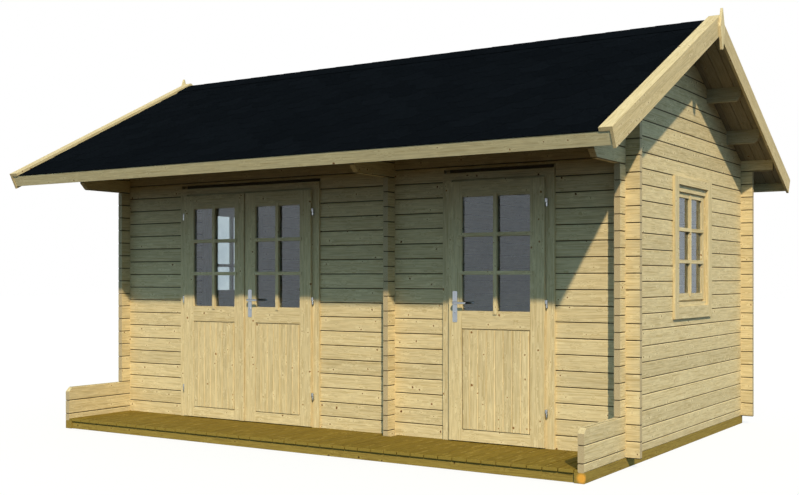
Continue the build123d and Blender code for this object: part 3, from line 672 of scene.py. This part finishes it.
# ---- Walls and foundation ----
class CABIN_OT_walls(bpy.types.Operator):
    """Finishes the log walls: grain along each log, knots, and dark seams with painted shade over them"""

    bl_idname = "cabin.walls"
    bl_label = "Log walls"

    def execute(self, context):
        stain = context.scene.cabin_colours.log_stain
        wood = stained(SPRUCE, stain)
        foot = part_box("foundation_side_beams")[1].z
        crossed = foot + LOG_HEIGHT / 2  # the cross logs lie half a log higher than the long ones
        long_logs = timber("planed_spruce_long_logs", "X", wood, (foot, LOG_HEIGHT))
        cross_logs = timber("planed_spruce_cross_logs", "Y", wood, (crossed, LOG_HEIGHT))
        finish_nodes([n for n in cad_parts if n.startswith(("front_wall", "back_wall"))], long_logs)
        finish_nodes([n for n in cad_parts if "gable" in n or n.startswith("partition")], cross_logs)
        # The purlins take the wood with painted shade
        purlin_wood = timber("planed_spruce_purlins", "X", stained(PURLIN_PAINTED_SHADE, stain))
        finish_nodes(["purlins"], purlin_wood, context.scene.cabin_joinery.edge)
        return {"FINISHED"}


class CABIN_OT_foundation(bpy.types.Operator):
    """Finishes the foundation beams and the veranda's joists"""

    bl_idname = "cabin.foundation"
    bl_label = "Foundation"

    def execute(self, context):
        edge = context.scene.cabin_joinery.edge
        wood = stained(TREATED, context.scene.cabin_colours.deck_stain)
        low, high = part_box("foundation_side_beams")
        heart = (high.x - SIDE_BEAM / 4, low.y, high.z / 2)
        side_wood = pressure_treated("treated_pine_side_beams", "Y", wood, heart)
        finish_nodes(["foundation_side_beams"], side_wood, edge)
        cross_wood = pressure_treated("treated_pine_beams", "X", wood)
        finish_nodes(["foundation_cross_beams", "veranda_joists"], cross_wood, edge)
        return {"FINISHED"}


class CABIN_OT_floors(bpy.types.Operator):
    """Lays the veranda's deck boards and the floor boards of both rooms"""

    bl_idname = "cabin.floors"
    bl_label = "Deck and floors"

    def execute(self, context):
        sizes = context.scene.cabin_boards
        low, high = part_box("veranda_deck")
        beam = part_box("foundation_side_beams")[1]
        inner = high.x - BEAM_SHOWN
        count, pitch = spread(-inner, inner, sizes.deck_width)
        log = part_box("partition_wall")
        mesh = bmesh.new()
        for k in range(count):
            x = (-inner + k * pitch + sizes.deck_gap / 2, -inner + (k + 1) * pitch - sizes.deck_gap / 2)
            back = high.y
            if x[1] > log[0].x and x[0] < log[1].x:
                back = log[0].y - WALL_GAP
            board(mesh, x, (low.y, back), (low.z, high.z))
        for side in (-1, 1):
            x = sorted((side * (inner + sizes.deck_gap / 2), side * high.x))
            board(mesh, x, (low.y, high.y), (beam.z + GAP, high.z))
        colours = context.scene.cabin_colours
        deck = pressure_treated("treated_pine_deck_boards", "Y", stained(DECKING, colours.deck_stain))
        piece("veranda_deck_boards", mesh, "cabin", [deck], DECK_EDGE, ["veranda_deck"])

        low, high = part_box("room_floors")
        mesh = bmesh.new()
        for x0, x1 in ((low.x, log[0].x), (log[1].x, high.x)):
            count, pitch = spread(x0, x1, sizes.floor_width)
            for k in range(count):
                x = (x0 + k * pitch + GAP, x0 + (k + 1) * pitch - GAP)
                board(mesh, x, (low.y, high.y), (low.z, high.z))
        floor = timber("planed_spruce_floor_boards", "Y", SPRUCE)
        piece("room_floor_boards", mesh, "cabin", [floor], BAR_EDGE, ["room_floors"])
        return {"FINISHED"}


# ---- Roof ----
def roof_place(side):
    """Turns (x, distance down the slope, height over the boards' underside) into a place on one slope."""
    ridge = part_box("roof_boards")[1].z - ROOF_BOARD / math.cos(PITCH)

    def place(x, along, out):
        y = side * (along * math.cos(PITCH) + out * math.sin(PITCH))
        return x, y, ridge - along * math.sin(PITCH) + out * math.cos(PITCH)

    return place


class CABIN_OT_roof_boards(bpy.types.Operator):
    """Lays the tongued roof boards, seen from below along the eaves, and finishes the roof's trim"""

    bl_idname = "cabin.roof_boards"
    bl_label = "Roof boards and trim"

    def execute(self, context):
        sizes = context.scene.cabin_boards
        low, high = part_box("roof_boards")
        count, pitch = spread(low.x, high.x, sizes.roof_width)
        joint = sizes.joint
        mesh = bmesh.new()
        length = (high.y - ROOF_BOARD * math.sin(PITCH)) / math.cos(PITCH)
        lean = math.tan(PITCH)
        for side in (-1, 1):
            place = roof_place(side)

            def mitred(x, along, out):
                """Slides the head so that it is cut upright at the ridge. The foot stays square."""
                return place(x, along if along == length else along - out * lean, out)

            for k in range(count):
                x0, x1 = low.x + k * pitch + GAP, low.x + (k + 1) * pitch - GAP
                outline = [(x0 + joint, 0), (x1 - joint, 0), (x1, joint), (x1, ROOF_BOARD), (x0, ROOF_BOARD),
                           (x0, joint)]
                bar(mesh, outline, "Y", (GAP, length), 0, mitred)
        colours = context.scene.cabin_colours
        # The roof boards take the wood with painted shade
        wood = timber("planed_spruce_roof_boards", "Y", stained(SOFFIT_PAINTED_SHADE, colours.roof_stain), lean=PITCH)
        piece("tongued_roof_boards", mesh, "cabin", [wood], 0.0, ["roof_boards"])
        edge = context.scene.cabin_joinery.edge
        slope_wood = timber("planed_spruce_roof_trim", "Y", stained(TRIM, colours.roof_stain), lean=PITCH)
        finish_nodes(["barge_boards", "cap_boards"], slope_wood, edge)
        eaves_wood = timber("planed_spruce_fascia", "X", stained(FASCIA, colours.roof_stain))
        finish_nodes(["fascia_boards"], eaves_wood, edge)
        finish_nodes(["finials"], spruce_upright(colours.joinery_stain), edge)
        return {"FINISHED"}


class CABIN_OT_shingles(bpy.types.Operator):
    """Lays six-sided bitumen shingles up both slopes and bends shingles over the ridge"""

    bl_idname = "cabin.shingles"
    bl_label = "Shingles"

    def execute(self, context):
        sizes = context.scene.cabin_shingles
        felt = bitumen_felt(context.scene.cabin_colours)
        low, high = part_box("shingles")
        felt_top = ROOF_BOARD + 2 * sizes.thickness
        length = (high.y - felt_top * math.sin(PITCH)) / math.cos(PITCH)
        rows = math.ceil(length / sizes.exposure)
        rng = random.Random(11)
        mesh = bmesh.new()
        for side in (-1, 1):
            place = roof_place(side)
            for row in range(rows):
                foot = length - row * sizes.exposure
                waist = max(foot - sizes.exposure, 0.0)
                head = max(foot - 2 * sizes.exposure, 0.0)
                start = low.x - (row % 2) * sizes.tab_width / 2
                for k in range(math.ceil((high.x - start) / sizes.tab_width)):
                    x0 = start + k * sizes.tab_width
                    x1 = x0 + sizes.tab_width
                    inset = sizes.tab_width / 4
                    settled = rng.uniform(0.0, SETTLED)
                    outline = [(x0, head), (x0, waist), (x0 + inset, foot), (x1 - inset, foot), (x1, waist),
                               (x1, head)]
                    self.tab(mesh, outline, (low.x, high.x), place, sizes.thickness, settled)
            self.starter(mesh, (low.x, high.x), place, sizes, length)
        piece("bitumen_shingles", mesh, "cabin", [felt], 0.0, ["shingles"])
        self.ridge(felt, sizes, (low.x, high.x))
        return {"FINISHED"}

    def tab(self, mesh, outline, across, place, thick, settled):
        """One tab, trimmed to the roof: its head lies on the boards and its foot on the course below."""
        points = []
        for x, along in outline:
            point = (min(max(x, across[0]), across[1]), along)
            if not points or math.dist(point, points[-1]) > SAME_POINT:
                points.append(point)
        if len(points) > 2 and math.dist(points[0], points[-1]) < SAME_POINT:
            points.pop()
        widths = [x for x, along in points]
        if len(points) < 3 or max(widths) - min(widths) < SLIVER:
            return
        head = min(along for x, along in outline)
        foot = max(along for x, along in outline)
        rings = []
        for out in (0.0, thick - settled):
            ring = []
            for x, along in points:
                rise = thick * (along - head) / (foot - head)
                ring.append(mesh.verts.new(place(x, along, ROOF_BOARD + rise + out)))
            rings.append(ring)
        skin(mesh, rings)

    def starter(self, mesh, across, place, sizes, length):
        """Straight course under the tabs along the eaves."""
        ends = (length - sizes.exposure, length - STARTER_SETBACK)
        outline = [(across[0], ends[0]), (across[1], ends[0]), (across[1], ends[1]), (across[0], ends[1])]
        rings = []
        for out in (0.0, sizes.thickness):
            rings.append([mesh.verts.new(place(x, along, ROOF_BOARD + out)) for x, along in outline])
        skin(mesh, rings)

    def ridge(self, felt, sizes, across):
        """Shingles bent over the ridge, each lapped by the next."""
        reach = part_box("ridge_strip")[1].y / math.cos(PITCH)
        under = ROOF_BOARD + 2 * sizes.thickness
        half = [(-1, reach), (-1, reach / 2), (-1, RIDGE_BEND), (1, RIDGE_BEND), (1, reach / 2), (1, reach)]
        mesh = bmesh.new()
        count, step = spread(across[0], across[1], sizes.ridge_length)
        for k in range(count):
            x0 = across[0] + k * step
            x1 = min(x0 + step * RIDGE_LAP, across[1])
            rings = []
            for x, lift in ((x0, sizes.thickness), (x1, 0.0)):
                upper = []
                for side, along in half:
                    thick = sizes.thickness * (RIDGE_EDGE if along == reach else 1.0)
                    upper.append(roof_place(side)(x, along, under + lift + thick))
                lower = [roof_place(side)(x, along, under + lift) for side, along in reversed(half)]
                rings.append([mesh.verts.new(corner) for corner in upper + lower])
            skin(mesh, rings)
        piece("ridge_shingles", mesh, "cabin", [felt], 0.0, ["ridge_strip"])


# ---- Doors ----
class CABIN_OT_frames(bpy.types.Operator):
    """Finishes the frames and casings of the doors"""

    bl_idname = "cabin.frames"
    bl_label = "Door frames"

    def execute(self, context):
        edge = context.scene.cabin_joinery.edge
        stain = context.scene.cabin_colours.joinery_stain
        wood = stained(SPRUCE, stain)
        upright = spruce_upright(stain)
        level = timber("planed_spruce_level", "X", wood)
        # The door heads get painted shade where they lie in the depth of the settling slot
        heads = timber("planed_spruce_door_heads", "X", wood, painted_shade_from=SLOT_PAINTED_SHADE_FROM)
        finish_nodes(["door_jambs"], upright, edge)
        finish_nodes(["door_sills"], level, edge)
        finish_nodes(["door_heads"], heads, edge)
        return {"FINISHED"}


class CABIN_OT_leaves(bpy.types.Operator):
    """Builds the framed and boarded door leaves with their glass and glazing bars"""

    bl_idname = "cabin.leaves"
    bl_label = "Door leaves"

    def execute(self, context):
        stain = context.scene.cabin_colours.joinery_stain
        finishes = [spruce_upright(stain), timber("planed_spruce_leaf_rails", "X", stained(SPRUCE, stain))]
        glass = float_glass("float_glass_doors", DOOR_GLASS, COATED_INDEX)
        for leaf, (body, meeting) in LEAVES.items():
            self.leaf(context, leaf, body, meeting, finishes)
            finish_nodes([leaf + "_glass"], glass)
        return {"FINISHED"}

    def leaf(self, context, leaf, body, meeting, finishes):
        """Stiles, rails, panel boards, cover strip and glazing bars of one leaf."""
        sizes = context.scene.cabin_joinery
        low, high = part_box(leaf + "_leaf")
        front = leaf_front(leaf)
        lip = front + LEAF["lip"]
        body_top = high.z - LEAF["body_top"]
        inner = (low.x + LEAF["stile"], high.x - LEAF["stile"])
        body_low = low.x + (LEAF["meeting_inset"] if meeting < 0 else LEAF["inset"])
        body_high = high.x - (LEAF["meeting_inset"] if meeting > 0 else LEAF["inset"])
        mesh = bmesh.new()
        for face_x, rear_x in (((low.x, inner[0]), (body_low, inner[0])),
                               ((inner[1], high.x), (inner[1], body_high))):
            board(mesh, face_x, (front, lip), (low.z, high.z), 0)
            board(mesh, rear_x, (lip, high.y), (low.z, body_top), 0)
        rails = ((low.z, LEAF["panel"][0]), (LEAF["panel"][1], LEAF["glass"][0]), (LEAF["glass"][1], high.z))
        for z in rails:
            board(mesh, inner, (front, lip), z, 1)
            board(mesh, inner, (lip, high.y), (z[0], min(z[1], body_top)), 1)
        if leaf == "double_door_left":
            board(mesh, (high.x - LEAF["strip"][0], high.x), (low.y, front - GAP), (low.z, high.z), 0)
        piece(leaf + "_frame", mesh, body, finishes, sizes.edge, [leaf + "_leaf"])

        mesh = bmesh.new()
        self.panel(mesh, context.scene.cabin_boards, inner, front)
        piece(leaf + "_panel_boards", mesh, body, finishes[:1])

        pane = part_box(leaf + "_glass")
        mesh = bmesh.new()
        glazing(mesh, sizes, "Y", inner, LEAF["glass"], front, pane[0].y - GAP, -1, sizes.bar_lap)
        glazing(mesh, sizes, "Y", inner, LEAF["glass"], high.y, pane[1].y + GAP, 1, 0.0)
        piece(leaf + "_glazing_bars", mesh, body, finishes, BAR_EDGE)

    def panel(self, mesh, boards, inner, front):
        """Upright tongued boards. They stand out from the frame, with a deep groove all round."""
        groove = LEAF["panel_groove"]
        joint = boards.joint
        bottom, top = LEAF["panel"]
        face = front - LEAF["panel_stand"]
        seat = front + LEAF["panel_groove_depth"]
        back = front + LEAF["panel_thickness"]
        count, pitch = spread(inner[0], inner[1], boards.panel_width)
        for k in range(count):
            x0, x1 = inner[0] + k * pitch + GAP, inner[0] + (k + 1) * pitch - GAP
            outline = [(x0, seat), (x1, seat), (x1, back - joint), (x1 - joint, back), (x0 + joint, back),
                       (x0, back - joint)]
            bar(mesh, outline, "Z", (bottom + GAP, top - GAP))
            x0, x1 = max(x0, inner[0] + groove), min(x1, inner[1] - groove)
            outline = [(x0 + joint, face), (x1 - joint, face), (x1, face + joint), (x1, seat - GAP),
                       (x0, seat - GAP), (x0, face + joint)]
            bar(mesh, outline, "Z", (bottom + groove, top - groove))


def leaf_front(leaf):
    """Front face of a leaf's stiles, behind its panel, or behind its cover strip where it has one."""
    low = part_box(leaf + "_leaf")[0]
    return low.y + (LEAF["strip"][1] if leaf == "double_door_left" else LEAF["panel_stand"])


def glazing(mesh, sizes, facing, wide, tall, face, pane, side, lap):
    """Crossed glazing bars over a pane. facing is the axis through the pane and side the way the bars face.
    With a lap they stand out over the frame; without one they stay behind its face. The upright bar stands
    in front of the level ones, which are cut to it."""
    half = sizes.bar_width / 2
    front = face + side * (sizes.bar_proud if lap else -BAR_SETBACK)
    stem = face if lap else front  # where the part between the frame's edges begins

    def one(across, upward, depth, finish):
        spans = {"Y": (across, depth, upward), "X": (depth, across, upward)}[facing]
        board(mesh, *[tuple(sorted(span)) for span in spans], finish)

    step = (wide[1] - wide[0]) / sizes.columns
    middles = [wide[0] + k * step for k in range(1, sizes.columns)]
    for middle in middles:
        span = (middle - half, middle + half)
        if lap:
            one(span, (tall[0] - lap, tall[1] + lap), (front, face + side * GAP), 0)
        one(span, (tall[0] + GAP, tall[1] - GAP), (stem, pane), 0)
    rise = (tall[1] - tall[0]) / sizes.rows
    edges = [wide[0]] + [m + s * half for m in middles for s in (-1, 1)] + [wide[1]]
    for k in range(1, sizes.rows):
        z = tall[0] + k * rise
        for low, high in zip(edges[::2], edges[1::2]):
            if lap:
                ends = (low - (lap if low == wide[0] else -GAP), high + (lap if high == wide[1] else -GAP))
                one(ends, (z - half, z + half), (front, face + side * GAP), 1)
            one((low + GAP, high - GAP), (z - half, z + half), (stem, pane), 1)


class CABIN_OT_door_metal(bpy.types.Operator):
    """Builds the hinges, the long plates with their screws and keyways, and the lever handles"""

    bl_idname = "cabin.door_metal"
    bl_label = "Door metal"

    def execute(self, context):
        finishes = [satin_steel(context.scene.cabin_colours), black_iron()]
        on_frames = bmesh.new()
        for leaf, (body, meeting) in LEAVES.items():
            low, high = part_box(leaf + "_leaf")
            front = leaf_front(leaf)
            hinge_side = -1 if meeting > 0 else 1
            edge = high.x if hinge_side > 0 else low.x
            axis = (edge + hinge_side * HINGES["offset"], front + LEAF["lip"] / 2)
            on_leaf = bmesh.new()
            for middle in HINGES["heights"]:
                self.knuckle(on_frames, axis, middle, -1)
                half = HINGES["radius"] / 2
                near, far = HINGES["arm_gap"], HINGES["length"] / 2 - HINGES["arm_gap"]
                arm_y = (axis[1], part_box("door_jambs")[0].y)
                board(on_frames, (axis[0] - half, axis[0] + half), arm_y, (middle - far, middle - near))
                self.knuckle(on_leaf, axis, middle, 1)
                board(on_leaf, sorted((edge, axis[0])), (axis[1] - half, axis[1] + half),
                      (middle + near, middle + far))
            for lever, owner in LEVERS.items():
                if owner == leaf:
                    x = low.x + LEVER["inset"]
                    self.plate(on_leaf, x, front, -1)
                    self.plate(on_leaf, x, high.y, 1)
                    self.lever(lever, x, front, high.y, finishes)
            piece(leaf + "_metal", on_leaf, body, finishes, METAL_EDGE, [leaf + "_hardware"],
                  smooth=True)
        piece("hinge_pins_on_frames", on_frames, "cabin", finishes, METAL_EDGE,
              ["hinge_halves_on_frames"], smooth=True)
        return {"FINISHED"}

    def knuckle(self, mesh, axis, middle, side):
        """Half a barrel with a domed end; side is 1 for the upper half."""
        end = HINGES["length"] / 2
        levels = [(share, end - drop) for share, drop in HINGES["dome"]] + list(HINGES["foot"])
        profile = [(share * HINGES["radius"], middle + side * level) for share, level in levels]
        turned(mesh, axis, "Z", profile)

    def plate(self, mesh, x, face, side):
        """Long plate with rounded ends, two screws, a raised ring round the lever, and a keyway."""
        half = PLATE["width"] / 2
        low = LEVER["height"] - PLATE["below"]
        high = low + PLATE["height"]
        corner = PLATE["corner"]
        outline = []
        for cx, cz, start in ((x + half - corner, high - corner, 0), (x - half + corner, high - corner, 90),
                              (x - half + corner, low + corner, 180), (x + half - corner, low + corner, 270)):
            for k in range(PLATE["corner_steps"] + 1):
                turn = math.radians(start + k * 90 / PLATE["corner_steps"])
                outline.append((cx + corner * math.cos(turn), cz + corner * math.sin(turn)))
        out = face + side * PLATE["thickness"]
        bar(mesh, outline, "Y", sorted((face, out)))

        def stood(profile):
            return [(radius, out + side * level) for radius, level in profile]

        def squared(z, spans, finish=0):
            across, up, levels = spans
            depth = sorted(out + side * level for level in levels)
            board(mesh, (x + across[0], x + across[1]), depth, (z + up[0], z + up[1]), finish)

        turned(mesh, (x, LEVER["height"]), "Y", stood(RING))
        for z in (low + PLATE["screw_inset"], high - PLATE["screw_inset"]):
            turned(mesh, (x, z), "Y", stood(SCREW))
            squared(z, SCREW_SLOT, 1)
        z = LEVER["height"] - PLATE["keyway_drop"]
        turned(mesh, (x, z), "Y", stood(CYLINDER))
        squared(z, CYLINDER_TAIL)
        squared(z, KEYWAY, 1)

    def lever(self, name, x, front, back, finishes):
        """Spindle through the leaf and, on each face, a round neck that bends into a flattened bar."""
        mesh = bmesh.new()
        z = LEVER["height"]
        radius = LEVER["radius"]
        reach = LEVER["reach"]
        turn = LEVER["bend"]
        spindle = radius * LEVER["spindle"]
        turned(mesh, (x, z), "Y", ((spindle, front), (spindle, back)))
        for face, side in ((front, -1), (back, 1)):
            rings = []
            stations = [(x, PLATE["thickness"], 90, *LEVER["neck"]),
                        (x, reach - turn, 90, *LEVER["neck_end"])]
            for k in range(1, LEVER["bend_steps"] + 1):
                angle = 90 - 90 * k / LEVER["bend_steps"]
                along = x + turn * (1 - math.sin(math.radians(angle)))
                out = reach - turn + turn * math.cos(math.radians(angle))
                thick, tall = LEVER["bent"]
                stations.append((along, out, angle, thick, tall + LEVER["bent_growth"] * k))
            tip = x - radius + LEVER["length"]
            thick, tall = LEVER["grip"]
            for share, end in LEVER["taper"]:
                stations.append((x + turn + (tip - x - turn) * share, reach, 0, thick * end, tall * end))
            for cx, out, angle, thick, tall in stations:
                turned_by = math.radians(angle)
                across = Vector((math.sin(turned_by), -side * math.cos(turned_by), 0))
                ring = []
                for k in range(LEVER["sides"]):
                    round_by = 2 * math.pi * k / LEVER["sides"]
                    flat = squared_off(math.cos(round_by)) * thick
                    up = squared_off(math.sin(round_by)) * tall
                    ring.append(mesh.verts.new(Vector((cx, face + side * out, z + up)) + across * flat))
                rings.append(ring)
            skin(mesh, rings)
        owner = LEAVES[LEVERS[name]][0].replace("_leaf", "_lever")
        piece(name + "_handle", mesh, owner, finishes, 0.0, [name], smooth=True)


def squared_off(share):
    """Moves a point of the lever's round section out towards a rectangle."""
    return math.copysign(abs(share) ** LEVER["squareness"], share)


# ---- Windows ----
class CABIN_OT_windows(bpy.types.Operator):
    """Builds the frames, sashes and glazing bars of both gable windows from single boards"""

    bl_idname = "cabin.windows"
    bl_label = "Gable windows"

    def execute(self, context):
        sizes = context.scene.cabin_joinery
        low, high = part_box("window_frames")
        pane_low, pane_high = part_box("window_glass")
        edges = WINDOW["casing"] + WINDOW["edge"]
        casing = ((low.y, high.y), (low.z, high.z))
        rebate = ((low.y + WINDOW["casing"], high.y - WINDOW["casing"]),
                  (low.z + WINDOW["casing"], high.z - WINDOW["head_casing"]))
        wall = ((low.y + WINDOW["lap"], high.y - WINDOW["lap"]), (low.z + WINDOW["sill_lap"], high.z))
        hole = ((low.y + edges, high.y - edges),
                (rebate[1][0] + WINDOW["foot"], rebate[1][1] - WINDOW["head"]))
        over_groove = (hole[0], (hole[1][0] + SASH["groove_height"], hole[1][1]))
        glass = ((pane_low.y, pane_high.y), (pane_low.z, pane_high.z))
        face = high.x - WINDOW["casing_thickness"]
        inside = face - WINDOW["wall"]
        sash = face - SASH["setback"]
        frames, sashes, bars = bmesh.new(), bmesh.new(), bmesh.new()
        for side in (-1, 1):
            surround(frames, (side * face, side * high.x), casing, rebate)
            surround(frames, (side * inside, side * face), wall, hole)
            surround(frames, (side * (inside - WINDOW["casing_thickness"]), side * inside), casing, hole)
            front = sash - SASH["groove_depth"]
            surround(sashes, (side * (front + GAP), side * sash), over_groove, glass)
            surround(sashes, (side * (sash - SASH["thickness"]), side * front), hole, glass)
            outer = side * (pane_high.x + GAP)
            inner = side * (pane_high.x - PANE_THICKNESS - GAP)
            glazing(bars, sizes, "X", *glass, side * sash, outer, side, sizes.bar_lap)
            glazing(bars, sizes, "X", *glass, side * (sash - SASH["thickness"]), inner, -side, 0.0)
        stain = context.scene.cabin_colours.joinery_stain
        finishes = [spruce_upright(stain), timber("planed_spruce_window_rails", "Y", stained(SPRUCE, stain))]
        piece("window_frame_boards", frames, "cabin", finishes, sizes.edge, ["window_frames"])
        piece("window_sash_boards", sashes, "cabin", finishes, sizes.edge, ["window_sashes"])
        piece("window_glazing_bars", bars, "cabin", finishes, BAR_EDGE)
        finish_nodes(["window_glass"], float_glass("float_glass_windows", WINDOW_GLASS, PLAIN_INDEX))
        return {"FINISHED"}


def surround(mesh, depth, outer, inner):
    """Two stiles with two rails between them, set round an opening. outer and inner are the (y, z) spans
    of the whole and of the opening."""
    depth = sorted(depth)
    outer_y, outer_z = outer
    inner_y, inner_z = inner
    board(mesh, depth, (outer_y[0], inner_y[0] - GAP), outer_z, 0)
    board(mesh, depth, (inner_y[1] + GAP, outer_y[1]), outer_z, 0)
    board(mesh, depth, inner_y, (outer_z[0], inner_z[0]), 1)
    board(mesh, depth, inner_y, (inner_z[1], outer_z[1]), 1)


# ---- Stage ----
class CABIN_OT_stage(bpy.types.Operator):
    """Sets up the pale floor, the soft light and the camera"""

    bl_idname = "cabin.stage"
    bl_label = "Studio stage"

    def execute(self, context):
        scene = context.scene
        scene.view_settings.view_transform = "Standard"
        light = scene.cabin_light
        self.world(scene, light)
        self.floor(light)
        lamp = bpy.data.lights.new("key_light", "SUN")
        lamp.energy = light.lamp
        lamp.color = linear(SUN_COLOUR)[:3]
        lamp.angle = SUN_SIZE
        key = bpy.data.objects.new("key_light", lamp)
        scene.collection.objects.link(key)
        turn, height = light.lamp_turn, light.lamp_height
        level = math.cos(height)
        towards = Vector((math.sin(turn) * level, -math.cos(turn) * level, math.sin(height)))
        key.rotation_euler = towards.to_track_quat("Z", "Y").to_euler()
        key.location = towards * SUN_DISTANCE

        lens = bpy.data.cameras.new("camera")
        lens.lens = CAMERA["lens"]
        lens.sensor_width = CAMERA["sensor"]
        lens.shift_y = CAMERA["shift"]
        lens.clip_end = CAMERA["farthest"]
        camera = bpy.data.objects.new("camera", lens)
        scene.collection.objects.link(camera)
        camera.location = CAMERA["place"]
        camera.rotation_euler = (math.pi / 2, 0.0, CAMERA["turn"])
        scene.camera = camera
        return {"FINISHED"}

    def world(self, scene, light):
        """Soft light from all sides. Camera, mirror and glass rays see plain white instead."""
        world = bpy.data.worlds.new("studio")
        scene.world = world
        world.use_nodes = True
        tree = world.node_tree
        tree.nodes.clear()
        soft = node(tree, "Background", {"Color": (*light.fill_colour, 1.0), "Strength": light.fill})
        white = node(tree, "Background", {"Color": (1, 1, 1, 1), "Strength": 1.0})
        both = node(tree, "MixShader", {0: self.seen(tree), 1: soft, 2: white})
        node(tree, "OutputWorld", {"Surface": both})

    def seen(self, tree):
        """1 for rays that show the background: from the camera, a mirror or through glass. Light that has
        left a matt surface on its way is 0, so the rooms aren't lit by the white backdrop."""
        path = node(tree, "LightPath").node
        direct = node(tree, "Math", {0: path.outputs["Is Camera Ray"], 1: path.outputs["Is Glossy Ray"]},
                      operation="MAXIMUM")
        shown = node(tree, "Math", {0: direct, 1: path.outputs["Is Transmission Ray"]}, operation="MAXIMUM")
        clear = node(tree, "Math", {0: path.outputs["Diffuse Depth"], 1: 0.5}, operation="LESS_THAN")
        return node(tree, "Math", {0: shown, 1: clear}, operation="MULTIPLY")

    def floor(self, light):
        """Plain floor, which shows as white paper with the cabin's shadow on it and bounces little light."""
        mesh = bmesh.new()
        bmesh.ops.create_grid(mesh, x_segments=1, y_segments=1, size=FLOOR_REACH)
        data = bpy.data.meshes.new("studio_floor")
        mesh.to_mesh(data)
        mesh.free()
        floor = bpy.data.objects.new("studio_floor", data)
        bpy.context.scene.collection.objects.link(floor)
        floor.location.z = -FLOOR_DROP
        made, tree = blank("matt_white_paper", PAPER)
        seen = self.seen(tree)
        colour = node(tree, "Mix", {0: seen, 6: (*light.bounce_colour, 1.0), 7: PAPER}, out=2,
                      data_type="RGBA")
        paper = node(tree, "BsdfDiffuse", {"Color": colour})
        glow = node(tree, "Emission", {"Color": (1, 1, 1, 1), "Strength": 1.0})
        share = node(tree, "Math", {0: seen, 1: FLOOR_GLOW}, operation="MULTIPLY")
        both = node(tree, "MixShader", {0: share, 1: paper, 2: glow})
        node(tree, "OutputMaterial", {"Surface": both})
        data.materials.append(made)


class CABIN_PT_panel(bpy.types.Panel):
    """Lists the cabin's sizes and steps in the sidebar"""

    bl_idname = "CABIN_PT_panel"
    bl_label = "Log cabin"
    bl_space_type = "VIEW_3D"
    bl_region_type = "UI"
    bl_category = "Cabin"

    def draw(self, context):
        for group in GROUPS:
            owner = getattr(context.scene, group)
            box = self.layout.box()
            for name in owner.bl_rna.properties.keys():
                if name not in ("rna_type", "name"):
                    box.prop(owner, name)
        for step in STEPS:
            self.layout.operator(step.bl_idname)


GROUPS = {
    "cabin_boards": CabinBoards,
    "cabin_shingles": CabinShingles,
    "cabin_joinery": CabinJoinery,
    "cabin_colours": CabinColours,
    "cabin_light": CabinLight,
}
STEPS = (
    CABIN_OT_walls,
    CABIN_OT_foundation,
    CABIN_OT_floors,
    CABIN_OT_roof_boards,
    CABIN_OT_shingles,
    CABIN_OT_frames,
    CABIN_OT_leaves,
    CABIN_OT_door_metal,
    CABIN_OT_windows,
    CABIN_OT_stage,
)


def register():
    """Adds the size groups, the steps and the panel to Blender."""
    for item in (*GROUPS.values(), *STEPS, CABIN_PT_panel):
        bpy.utils.register_class(item)
    for name, group in GROUPS.items():
        setattr(bpy.types.Scene, name, bpy.props.PointerProperty(type=group))


def unregister():
    """Takes them out again."""
    for name in GROUPS:
        delattr(bpy.types.Scene, name)
    for item in (CABIN_PT_panel, *reversed(STEPS), *reversed(GROUPS.values())):
        bpy.utils.unregister_class(item)


def main():
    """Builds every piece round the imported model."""
    register()
    for step in STEPS:
        group, name = step.bl_idname.split(".")
        getattr(getattr(bpy.ops, group), name)()
    bpy.context.view_layer.update()


if __name__ == "__main__":
    main()
